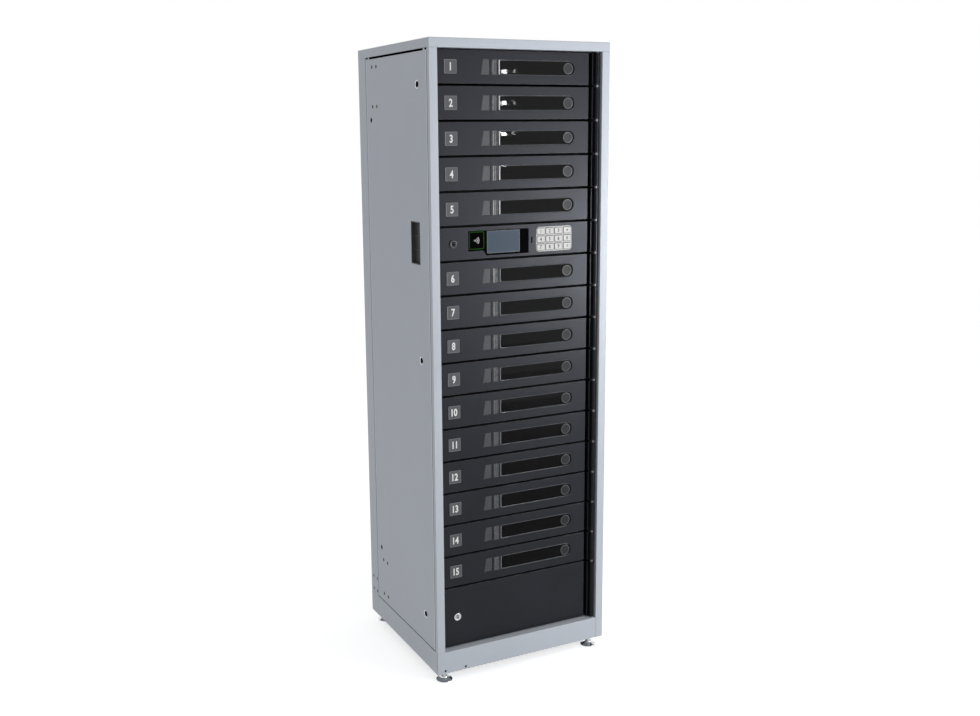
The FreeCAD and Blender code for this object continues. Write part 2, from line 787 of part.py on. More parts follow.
# Charging outlet on the back wall of each bay: a mains socket and a data port
outlet = new_body("outlet")
outlet_x = f"({half_bay} - outlet_inset)"
outlet_z = "(row_pitch / 2)"
outlet_face = f"({bay_back} - outlet_depth)"
pad(outlet, "outlet_plate", "XZ", outlet_face, "outlet_depth",
    box_corners(f"{outlet_x} - outlet_width / 2", f"{outlet_z} - outlet_height / 2",
                f"{outlet_x} + outlet_width / 2", f"{outlet_z} + outlet_height / 2"))


def slot_corners(across, width, height):
    return box_corners(f"{outlet_x} + {across} - {width} / 2", f"{outlet_z} - {height} / 2",
                       f"{outlet_x} + {across} + {width} / 2", f"{outlet_z} + {height} / 2")


pocket(outlet, "outlet_slots", "XZ", f"{outlet_face} - overrun", "overrun + outlet_recess",
       slot_corners("-1 * blade_pitch - blade_pitch / 2", "blade_width", "blade_height"),
       slot_corners("-1 * blade_pitch / 2", "blade_width", "blade_height"),
       slot_corners("port_offset", "port_width", "port_height"))

# Electric latch beside each bay, with the slot that takes the door's striker
latch = new_body("latch")
pad(latch, "latch_case", "XZ", lip_rear, "latch_depth",
    box_corners(latch_left, f"{outlet_z} - latch_height / 2",
                f"{latch_left} + latch_width", f"{outlet_z} + latch_height / 2"))
slot_left = f"({latch_left} + latch_width / 2 - latch_slot / 2)"
pocket(latch, "latch_mouth", "XZ", f"{lip_rear} - overrun", "overrun + latch_slot_depth",
       box_corners(slot_left, f"{outlet_z} - latch_slot_height / 2",
                   f"{slot_left} + latch_slot", f"{outlet_z} + latch_slot_height / 2"))

bay_rows = [row for row in range(rows) if row != count("bays_above")]
outlets = [copy_at(f"outlet_{bay}", [outlet], up=row_floor(row)) for bay, row in enumerate(bay_rows, 1)]
node(group("charging_outlets", outlets), "charging_outlets")
latches = [copy_at(f"latch_{bay}", [latch], up=row_floor(row)) for bay, row in enumerate(bay_rows, 1)]
node(group("door_latches", latches), "door_latches")

# Power unit on the base floor, with ears, cooling slots and a row for two breakers
power = new_body("power_unit")
power_front = f"(({bay_front} + {bay_back}) / 2 + power_shift - power_depth / 2)"
half_power = "(power_width / 2)"
pad(power, "power_case", "XY", floor_top, "power_height",
    box_corners(f"-1 * {half_power}", power_front, half_power, f"{power_front} + power_depth"))
round_edges(power, "power_bends", "power_bend", lambda edge: along(edge, "z"))
pad(power, "power_ears", "XY", floor_top, "frame_steel",
    box_corners(f"-1 * {half_power} - power_ear", f"{power_front} + power_ear",
                f"{half_power} + power_ear", f"{power_front} + power_depth - power_ear"))
pocket(power, "power_hollow", "XY", f"{floor_top} - overrun", "overrun + power_height - power_wall",
       box_corners(f"power_wall - {half_power}", f"{power_front} + power_wall + breaker_recess",
                   f"{half_power} - power_wall", f"{power_front} + power_depth - power_wall"))
power_middle = f"({floor_top} + power_height / 2)"
breaker_left = f"(breaker_inset - {half_power})"
pocket(power, "power_breaker", "XZ", f"{power_front} - overrun", "overrun + breaker_recess",
       box_corners(breaker_left, f"{power_middle} - breaker_height / 2",
                   f"{breaker_left} + breaker_width", f"{power_middle} + breaker_height / 2"))
fin_right = f"({half_power} - breaker_inset)"
first_fin = pocket(power, "power_slots", "XZ", f"{power_front} - overrun", "overrun + breaker_recess",
                   box_corners(f"{fin_right} - fin_width", f"{power_middle} - fin_height / 2",
                               fin_right, f"{power_middle} + fin_height / 2"))
repeat(power, first_fin, "H_Axis", "fin_pitch", "fin_count", True)
node(power, "power_unit")

# Hinge rod from the plinth to the cap, through every door's barrel
rod = doc.addObject("Part::Cylinder", "hinge_rod")
rod.setExpression("Radius", tied("rod_radius"))
rod.setExpression("Height", tied(f"{cap_bottom} - {plinth_top}"))
place(rod, hinge_x, hinge_y, plinth_top)
node(rod, "hinge_rod")


# A door leaf: a folded tray, open to the bay
def door_leaf(name, height):
    body = new_body(name)
    low = "row_gap / 2"
    high = f"{height} - row_gap / 2"
    pad(body, name + "_tray", "XZ", door_face, "door_depth", box_corners(door_left, low, door_right, high))
    pocket(body, name + "_hollow", "XZ", f"{door_face} + sheet_steel", "door_depth + overrun",
           box_corners(f"{door_left} + sheet_steel", f"{low} + sheet_steel",
                       f"{door_right} - sheet_steel", f"{high} - sheet_steel"))
    return body


def cut_leaf(body, name, *loops):
    pocket(body, name, "XZ", f"{door_face} - overrun", "overrun + sheet_steel + overrun", *loops)


# Hinge strip: a folded leaf on the door's right return that ends in a barrel round the rod
def hinge_strip(name, height):
    body = new_body(name)
    low = "row_gap / 2"
    length = f"{height} - row_gap"
    strip_rear = f"({door_rear} - hinge_back_gap)"
    web_right = f"({door_right} + hinge_web_reach)"
    web_left = f"({web_right} - hinge_steel)"
    arm_rear = f"({hinge_y} + barrel_radius)"
    arm_front = f"({arm_rear} - hinge_steel)"
    pad(body, name + "_fold", "XY", low, length, [
        (door_right, f"{strip_rear} - hinge_flange"),
        (f"{door_right} + hinge_steel", f"{strip_rear} - hinge_flange"),
        (f"{door_right} + hinge_steel", f"{strip_rear} - hinge_steel"),
        (web_left, f"{strip_rear} - hinge_steel"), (web_left, arm_front), (hinge_x, arm_front),
        (hinge_x, arm_rear), (web_right, arm_rear), (web_right, strip_rear), (door_right, strip_rear)])
    boss(body, name + "_barrel", "XY", low, length, (hinge_x, hinge_y), "barrel_radius")
    drill(body, name + "_bore", "XY", f"{low} - overrun", f"{length} + 2 * overrun",
          [(hinge_x, hinge_y)], "rod_radius + running_fit")
    return body


# Bay door: leaf, hinge, window moulding, number tile and striker
pad_left = f"({door_left} + pad_start)"
pad_right = f"({pad_left} + pad_width)"
bar_left = f"({pad_right} + bar_gap)"
bar_right = f"({bar_left} + bar_width)"
lens_left = f"({bar_right} + lens_gap)"
lens_right = f"({door_right} - lens_end)"
lens_low = "(row_pitch / 2 - lens_height / 2)"
lens_high = "(row_pitch / 2 + lens_height / 2)"


def light_pad(shrink):
    return [(f"{pad_left} + {shrink}", f"{lens_low} + {shrink}"),
            (f"{pad_right} - {shrink}", f"{lens_low} + {shrink}"),
            (f"{pad_right} - {shrink}", f"{lens_high} - {shrink}"),
            (f"{pad_left} + pad_slant + {shrink}", f"{lens_high} - {shrink}")]


def light_bar(shrink):
    return box_corners(f"{bar_left} + {shrink}", f"{lens_low} + {shrink}",
                       f"{bar_right} - {shrink}", f"{lens_high} - {shrink}")


def window(body, name, start, shrink):
    sketch = new_sketch(body, name, "XZ", start)
    draw_round_end(sketch, f"{lens_left} + {shrink}", f"{lens_low} + {shrink}",
                   f"{lens_right} - {shrink}", f"{lens_high} - {shrink}")
    return sketch


leaf = door_leaf("bay_leaf", "row_pitch")
cut_leaf(leaf, "bay_leaf_lights", light_pad("0"), light_bar("0"))
sink_sketch(leaf, window(leaf, "bay_leaf_window", f"{door_face} - overrun", "0"), "XZ",
            "overrun + sheet_steel + overrun")
hinge = hinge_strip("bay_hinge", "row_pitch")

moulding = new_body("window_moulding")
pad(moulding, "moulding_plate", "XZ", f"{door_face} + sheet_steel", "lens_plate",
    box_corners(f"{pad_left} - lens_margin", f"{lens_low} - lens_margin",
                f"{lens_right} + lens_margin", f"{lens_high} + lens_margin"))
land_start = f"{door_face} + lens_sink"
land_length = "sheet_steel - lens_sink + lens_plate / 2"
pad(moulding, "moulding_lights", "XZ", land_start, land_length,
    light_pad("moulding_fit"), light_bar("moulding_fit"))
raise_sketch(moulding, window(moulding, "moulding_window", land_start, "moulding_fit"), "XZ", land_length)

tile = new_body("number_tile")
tile_left = f"({door_left} + tile_inset)"
pad(tile, "tile_plate", "XZ", f"{door_face} - tile_depth", "tile_depth",
    box_corners(tile_left, "row_pitch / 2 - tile_size / 2",
                f"{tile_left} + tile_size", "row_pitch / 2 + tile_size / 2"))
bevel_edges(tile, "tile_corners", "tile_corner", lambda edge: along(edge, "y"))

striker = new_body("striker")
striker_right = f"({latch_left} + latch_width / 2 + striker_steel / 2)"
striker_left = f"({striker_right} - striker_steel)"
striker_seat = f"({door_face} + sheet_steel)"
pad(striker, "striker_fold", "XY", "row_pitch / 2 - striker_height / 2", "striker_height", [
    (striker_left, striker_seat), (f"{striker_left} + striker_base", striker_seat),
    (f"{striker_left} + striker_base", f"{striker_seat} + striker_steel"),
    (striker_right, f"{striker_seat} + striker_steel"), (striker_right, f"{lip_rear} + striker_reach"),
    (striker_left, f"{lip_rear} + striker_reach")])

for bay, row in enumerate(bay_rows, 1):
    label = f"door_{bay:02d}"
    node(copy_at(label, [leaf, hinge, moulding, tile, striker], up=row_floor(row)), label)

# Door key lock: a fixed ring and tube in the leaf, and the plug that turns in it
lock_x = f"({door_left} + door_lock_inset)"
facing_front = FreeCAD.Rotation(FreeCAD.Vector(1, 0, 0), 90)
ring = turned("lock_ring", [
    ("door_lock_plug + running_fit", "door_lock_rise"), ("door_lock_ring", "door_lock_rise"),
    ("door_lock_ring", "0"), ("door_lock_tube", "0"), ("door_lock_tube", "-door_lock_tube_depth"),
    ("door_lock_plug + running_fit", "-door_lock_tube_depth")])
plug_inner = f"-1 * ({jamb_depth} - door_recess + clearance)"
plug = key_plug("lock_plug", [
    ("0", "door_lock_rise"), ("door_lock_plug", "door_lock_rise"), ("door_lock_plug", plug_inner),
    ("0", plug_inner)], "door_lock_rise", f"{plug_inner} - cam_thickness")
cam_down = FreeCAD.Rotation(FreeCAD.Vector(0, 0, 1), -90)
ring.Placement = FreeCAD.Placement(FreeCAD.Vector(0, 0, 0), facing_front)
plug.Placement = FreeCAD.Placement(FreeCAD.Vector(0, 0, 0), facing_front.multiply(cam_down))


def lock_hole(body, name, up):
    drill(body, name, "XZ", f"{door_face} - overrun", "overrun + sheet_steel + overrun",
          [(lock_x, up)], "door_lock_tube + moulding_fit")


# Control door with the display, the card reader and the keypad
row_middle = "(row_pitch / 2)"
door_low = "(row_gap / 2)"
door_high = "(row_pitch - row_gap / 2)"
keypad_right = f"({door_right} - keypad_end)"
keypad_left = f"({keypad_right} - keypad_width)"
bezel_left = f"({door_left} + bezel_inset)"
bezel_right = f"({keypad_left} - bezel_gap)"
bezel_high = f"({door_high} - bezel_head)"
reader_right = f"({bezel_left} + reader_width)"


def bezel_corners(grow):
    return [(f"{bezel_left} - {grow}", f"{door_low} + reader_foot - {grow}"),
            (f"{reader_right} - {grow}", f"{door_low} + reader_foot - {grow}"),
            (f"{reader_right} + bezel_step - {grow}", f"{door_low} + bezel_foot - {grow}"),
            (f"{bezel_right} + {grow}", f"{door_low} + bezel_foot - {grow}"),
            (f"{bezel_right} + {grow}", f"{bezel_high} + {grow}"),
            (f"{bezel_left} - {grow}", f"{bezel_high} + {grow}")]


def keypad_corners(grow):
    return box_corners(f"{keypad_left} - ({grow})", f"{door_low} + keypad_edge - ({grow})",
                       f"{keypad_right} + {grow}", f"{door_high} - keypad_edge + {grow}")


sounder = f"({bezel_right} + sounder_gap)"
panel_leaf = door_leaf("control_leaf", "row_pitch")
cut_leaf(panel_leaf, "control_cutouts", bezel_corners("moulding_fit"), keypad_corners("moulding_fit"),
         box_corners(f"{sounder} - sounder_width / 2", f"{row_middle} - sounder_height / 2",
                     f"{sounder} + sounder_width / 2", f"{row_middle} + sounder_height / 2"))
lock_hole(panel_leaf, "control_lock_hole", row_middle)
panel_hinge = hinge_strip("control_hinge", "row_pitch")
panel_ring = copy_at("control_ring", [ring], lock_x, door_face, row_middle)
control_floor = row_floor(count("bays_above"))
node(copy_at("control_door", [panel_leaf, panel_hinge, panel_ring], up=control_floor), "control_door")
node(copy_at("control_lock", [plug], lock_x, door_face, f"{control_floor} + {row_middle}"), "control_lock")

bezel = new_body("bezel")
pad(bezel, "bezel_glass", "XZ", f"{door_face} - bezel_proud", "bezel_proud + sheet_steel",
    bezel_corners("0"))
housing = new_body("controller_housing")
pad(housing, "housing_case", "XZ", f"{door_face} + sheet_steel", "controller_depth",
    bezel_corners("controller_margin"))
node(copy_at("display_module", [bezel, housing], up=control_floor), "display_module")

# Keypad: a framed plate with an opening for each key, and the key board behind it
key_columns = count("key_columns")
key_rows = count("key_rows")
pitch_across = "((keypad_width - 2 * key_border_across) / key_columns)"
pitch_up = f"(({door_high} - {door_low} - 2 * keypad_edge - 2 * key_border_up) / key_rows)"
key_width = f"({pitch_across} - key_space_across)"
key_height = f"({pitch_up} - key_space_up)"


def key_place(column, row):
    across = f"({keypad_left} + keypad_width / 2 + {column - (key_columns - 1) / 2} * {pitch_across})"
    up = f"({row_middle} + {(key_rows - 1) / 2 - row} * {pitch_up})"
    return across, up


def key_corners(across, up, grow):
    return box_corners(f"{across} - {key_width} / 2 - {grow}", f"{up} - {key_height} / 2 - {grow}",
                       f"{across} + {key_width} / 2 + {grow}", f"{up} + {key_height} / 2 + {grow}")


key_spots = [key_place(column, row) for row in range(key_rows) for column in range(key_columns)]
frame = new_body("keypad_tray")
pad(frame, "keypad_block", "XZ", door_face, "keypad_depth", keypad_corners("0"))
pad(frame, "keypad_flange", "XZ", f"{door_face} + sheet_steel", "sheet_steel", keypad_corners("keypad_rim"))
pocket(frame, "keypad_hollow", "XZ", f"{door_face} + keypad_plate", "keypad_depth + overrun",
       keypad_corners("-1 * keypad_wall"))
top_row = pocket(frame, "keypad_openings", "XZ", f"{door_face} - overrun", "overrun + keypad_plate + overrun",
                 *[key_corners(across, up, "key_fit") for across, up in key_spots[:key_columns]])
repeat(frame, top_row, "V_Axis", pitch_up, "key_rows", True)
board = new_body("key_board")
pad(board, "board_sheet", "XZ", f"{door_face} + keypad_depth", "keypad_board", keypad_corners("0"))
node(copy_at("keypad_frame", [frame, board], up=control_floor), "keypad_frame")

key_back = f"({door_face} + keypad_plate)"
key = new_body("key_cap")
pad(key, "key_top", "XZ", f"{door_face} - key_rise", "key_rise + keypad_plate", key_corners("0", "0", "0"))
bevel_edges(key, "key_corners", "key_corner", lambda edge: along(edge, "y"))
pad(key, "key_stop", "XZ", key_back, "key_flange_depth", key_corners("0", "0", "key_flange"))
pad(key, "key_plunger", "XZ", f"{key_back} + key_flange_depth", "plunger_length",
    box_corners("-plunger_size / 2", "-plunger_size / 2", "plunger_size / 2", "plunger_size / 2"))
for number, (across, up) in enumerate(key_spots, 1):
    label = f"key_{number:02d}"
    node(copy_at(label, [key], across, up=f"{control_floor} + {up}"), label)

# Service door under the bays
service_leaf = door_leaf("service_leaf", "service_row")
service_middle = "(service_row / 2)"
lock_hole(service_leaf, "service_lock_hole", service_middle)
service_hinge = hinge_strip("service_hinge", "service_row")
service_ring = copy_at("service_ring", [ring], lock_x, door_face, service_middle)
node(copy_at("service_door", [service_leaf, service_hinge, service_ring], up=plinth_top), "service_door")
node(copy_at("service_lock", [plug], lock_x, door_face, f"{plinth_top} + {service_middle}"), "service_lock")

doc.recompute()
failed = [item.Name for item in doc.Objects if "Invalid" in item.State or "Error" in item.State]
failed += [item.Label for item in nodes if item.Shape.isNull() or not item.Shape.isValid()]
if failed:
    raise RuntimeError("not built: " + ", ".join(failed))

os.makedirs("parts", exist_ok=True)
for item in nodes:
    item.Shape.exportStep(f"parts/{item.Label}.step")
print(len(nodes), "nodes,", sum(len(item.Shape.Solids) for item in nodes), "solids")
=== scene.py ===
import json
from math import cos, hypot, pi, radians, sin, sqrt
import bmesh
import bpy
from mathutils import Matrix, Vector
from types import SimpleNamespace

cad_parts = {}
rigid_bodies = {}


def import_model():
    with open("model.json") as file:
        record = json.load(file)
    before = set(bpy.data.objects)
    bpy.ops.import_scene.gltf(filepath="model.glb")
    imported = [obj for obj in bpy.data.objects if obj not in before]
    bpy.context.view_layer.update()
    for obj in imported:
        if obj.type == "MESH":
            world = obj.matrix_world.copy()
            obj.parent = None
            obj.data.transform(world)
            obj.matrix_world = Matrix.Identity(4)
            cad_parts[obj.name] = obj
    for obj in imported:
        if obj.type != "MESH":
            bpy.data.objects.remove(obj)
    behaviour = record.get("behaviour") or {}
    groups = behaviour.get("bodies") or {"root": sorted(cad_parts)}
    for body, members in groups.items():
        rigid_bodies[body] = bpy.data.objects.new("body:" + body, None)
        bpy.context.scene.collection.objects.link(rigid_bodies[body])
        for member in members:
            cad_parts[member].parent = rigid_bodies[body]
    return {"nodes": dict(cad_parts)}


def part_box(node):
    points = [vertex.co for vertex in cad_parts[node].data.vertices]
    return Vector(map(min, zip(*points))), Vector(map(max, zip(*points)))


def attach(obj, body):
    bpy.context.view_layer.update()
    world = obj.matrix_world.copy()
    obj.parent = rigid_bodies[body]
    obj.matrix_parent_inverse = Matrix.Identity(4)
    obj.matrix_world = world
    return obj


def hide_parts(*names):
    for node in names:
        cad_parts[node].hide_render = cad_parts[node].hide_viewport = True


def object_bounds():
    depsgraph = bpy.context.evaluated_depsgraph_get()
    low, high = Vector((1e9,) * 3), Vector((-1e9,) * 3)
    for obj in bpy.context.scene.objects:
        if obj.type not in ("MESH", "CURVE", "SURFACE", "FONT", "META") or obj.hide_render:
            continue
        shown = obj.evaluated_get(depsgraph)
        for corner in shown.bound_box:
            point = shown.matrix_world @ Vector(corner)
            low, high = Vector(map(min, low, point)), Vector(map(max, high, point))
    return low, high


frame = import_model()
cadBounds = [Vector(corner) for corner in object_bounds()]
nodes = frame["nodes"]
mm = 0.001
ops = bmesh.ops
peelHeight, lineHeight = 0.2 * mm, 0.05 * mm
front = cadBounds[0].y            # plane of the posts and the cap
doorFace = front + 20 * mm        # the doors sit back from it
print("frame loaded:", len(nodes), "nodes")


# Node helpers

def addNode(tree, kind, settings=None, inputs=None):
    node = tree.nodes.new("ShaderNode" + kind)
    for key, value in (settings or {}).items():
        setattr(node, key, value)
    for key, value in (inputs or {}).items():
        if isinstance(value, bpy.types.NodeSocket):
            tree.links.new(value, node.inputs[key])
        else:
            node.inputs[key].default_value = value
    return node


def math2(tree, operation, a, b):
    return addNode(tree, "Math", {"operation": operation, "use_clamp": True}, {0: a, 1: b}).outputs[0]


def spread(tree, value, low, high, toLow=0.0, toHigh=1.0):
    inputs = {"Value": value, "From Min": low, "From Max": high, "To Min": toLow, "To Max": toHigh}
    return addNode(tree, "MapRange", {}, inputs).outputs[0]


def tint(tree, a, b, share):
    node = addNode(tree, "Mix", {"data_type": "RGBA"}, {0: share})
    for index, colour in ((6, a), (7, b)):
        if isinstance(colour, bpy.types.NodeSocket):
            tree.links.new(colour, node.inputs[index])
        else:
            node.inputs[index].default_value = (*colour, 1)
    return node.outputs[2]


def feed(tree, node, sources):
    for label, source in sources.items():
        tree.links.new(source, node.inputs[label])


def objectPlace(tree):
    return addNode(tree, "TexCoord").outputs["Object"]


def noise(tree, place, scale, detail=2.0, roughness=0.5):
    inputs = {"Vector": place, "Scale": scale, "Detail": detail, "Roughness": roughness}
    return addNode(tree, "TexNoise", {}, inputs).outputs[0]


# Orange peel, bright flecks and slow mottling of sprayed powder paint
def powderCoat(tree, given):
    place = objectPlace(tree)
    fine = addNode(tree, "Math", {"operation": "MULTIPLY"}, {0: given["Grain"], 1: 2.3}).outputs[0]
    return {"Peel": noise(tree, place, given["Grain"], 3.0, 0.6),
            "Fleck": spread(tree, noise(tree, place, fine, 0.0), 0.5, 0.75),
            "Cloud": spread(tree, noise(tree, place, given["Mottle"], 4.0, 0.55), 0.3, 0.7)}


# Lighter colour along bends and cut edges: paint or plating rubbed thin, and on the door paint a painted
# highlight along the bends
def edgeRub(tree, given):
    bend = addNode(tree, "Bevel", {"samples": 4}, {"Radius": given["Width"]}).outputs[0]
    flat = addNode(tree, "NewGeometry").outputs["Normal"]
    dot = addNode(tree, "VectorMath", {"operation": "DOT_PRODUCT"}, {0: bend, 1: flat}).outputs["Value"]
    patches = spread(tree, noise(tree, objectPlace(tree), given["Breakup"], 3.0), 0.35, 0.65)
    return {"Mask": math2(tree, "MULTIPLY", spread(tree, dot, 0.995, 0.85), patches)}


# Fine dust that settles on what faces up
def settledDust(tree, given):
    normal = addNode(tree, "NewGeometry").outputs["Normal"]
    up = addNode(tree, "SeparateXYZ", {}, {0: normal}).outputs["Z"]
    clumps = spread(tree, noise(tree, objectPlace(tree), given["Scale"], 5.0, 0.65), 0.35, 0.75)
    return {"Mask": math2(tree, "MULTIPLY", spread(tree, up, 0.3, 0.95), clumps)}


# Long scratches along one axis, from drawing or grinding
def drawnGrain(tree, given):
    rates = {axis: given["Along " + axis] for axis in "XYZ"}
    stretch = addNode(tree, "CombineXYZ", {}, rates).outputs[0]
    place = addNode(tree, "VectorMath", {"operation": "MULTIPLY"}, {0: objectPlace(tree), 1: stretch})
    return {"Lines": noise(tree, place.outputs[0], 1.0, 3.0, 0.7),
            "Cloud": noise(tree, objectPlace(tree), 45.0, 3.0)}


# Finger marks and wiping streaks on gloss
def smudges(tree, given):
    return {"Mask": spread(tree, noise(tree, objectPlace(tree), given["Scale"], 6.0, 0.6), 0.42, 0.72)}


# A node group with the given inputs, whose outputs are what build makes of them
def makeGroup(name, build, inputs):
    tree = bpy.data.node_groups.new(name, "ShaderNodeTree")
    for label, default in inputs.items():
        socket = tree.interface.new_socket(label, in_out="INPUT", socket_type="NodeSocketFloat")
        socket.default_value = default
    made = build(tree, tree.nodes.new("NodeGroupInput").outputs)
    for label in made:
        tree.interface.new_socket(label, in_out="OUTPUT", socket_type="NodeSocketFloat")
    feed(tree, tree.nodes.new("NodeGroupOutput"), made)


makeGroup("powderCoat", powderCoat, {"Grain": 1200.0, "Mottle": 6.0})
makeGroup("edgeRub", edgeRub, {"Width": 0.002, "Breakup": 60.0})
makeGroup("settledDust", settledDust, {"Scale": 30.0})
makeGroup("drawnGrain", drawnGrain, {"Along X": 1500.0, "Along Y": 1500.0, "Along Z": 60.0})
makeGroup("smudges", smudges, {"Scale": 22.0})
print("shader groups made:", len(bpy.data.node_groups))


# Materials

def startMaterial(name, plain):
    material = bpy.data.materials.new(name)
    material.use_nodes = True
    tree = material.node_tree
    shader = tree.nodes["Principled BSDF"]
    for socket, value in plain.items():
        shader.inputs[socket].default_value = value
    return tree, shader


def placeGroup(tree, group, values):
    node = tree.nodes.new("ShaderNodeGroup")
    node.node_tree = bpy.data.node_groups[group]
    for label, value in values.items():
        node.inputs[label].default_value = value
    return node.outputs


def bump(tree, height, strength, distance):
    inputs = {"Height": height, "Strength": strength, "Distance": distance}
    return addNode(tree, "Bump", {}, inputs).outputs[0]


def scaled(tree, value, share):
    return math2(tree, "MULTIPLY", value, share)


# Sprayed or moulded surfaces: a base between two tones, flecks, lighter edges, dust and peel; the lighter
# edges are rubbed wear, and on the door paint a painted highlight
def coatedFinish(name, look):
    more = look.get("more", {})
    tree, shader = startMaterial(name, {"Specular IOR Level": look["gloss"], **more.get("plain", {})})
    coat = placeGroup(tree, "powderCoat", {"Grain": look["grain"], "Mottle": look["mottle"]})
    colour = tint(tree, look["low"], look["high"], coat["Cloud"])
    colour = tint(tree, colour, look["fleck"], scaled(tree, coat["Fleck"], look["fleckShare"]))
    if "rub" in more:
        tone, width, share = more["rub"]
        rub = placeGroup(tree, "edgeRub", {"Width": width * mm})
        colour = tint(tree, colour, tone, scaled(tree, rub["Mask"], share))
    if "dust" in more:
        tone, share = more["dust"]
        dust = placeGroup(tree, "settledDust", {})
        colour = tint(tree, colour, tone, scaled(tree, dust["Mask"], share))
    feed(tree, shader, {"Base Color": colour, "Roughness": spread(tree, coat["Cloud"], 0, 1, *look["rough"]),
                        "Normal": bump(tree, coat["Peel"], look["peel"], peelHeight)})


# Bare or plated metal with drawn lines and finger marks
def metalFinish(name, look):
    tree, shader = startMaterial(name, {"Metallic": 1.0})
    rates = {"Along " + axis: rate for axis, rate in zip("XYZ", look["lines"])}
    lines = placeGroup(tree, "drawnGrain", rates)
    marks = placeGroup(tree, "smudges", {"Scale": look["marks"]})
    sheen = spread(tree, lines["Lines"], 0.3, 0.7, *look["rough"])
    worn = addNode(tree, "Math", {"operation": "MULTIPLY_ADD"},
                   {0: marks["Mask"], 1: look["markRough"], 2: sheen})
    feed(tree, shader, {"Base Color": tint(tree, look["low"], look["high"], lines["Cloud"]),
                        "Roughness": worn.outputs[0],
                        "Normal": bump(tree, lines["Lines"], look["depth"], lineHeight)})


# Gloss fronts and smoked windows with wiping streaks
def glossFinish(name, look):
    more = look.get("more", {})
    tree, shader = startMaterial(name, {"Specular IOR Level": look["gloss"], **more.get("plain", {})})
    marks = placeGroup(tree, "smudges", {"Scale": look["marks"]})
    coat = placeGroup(tree, "powderCoat", {"Grain": look["grain"], "Mottle": look["mottle"]})
    feed(tree, shader, {"Base Color": tint(tree, look["low"], look["high"], coat["Cloud"]),
                        "Roughness": spread(tree, marks["Mask"], 0, 1, *look["rough"]),
                        "Normal": bump(tree, coat["Peel"], look["peel"], lineHeight)})
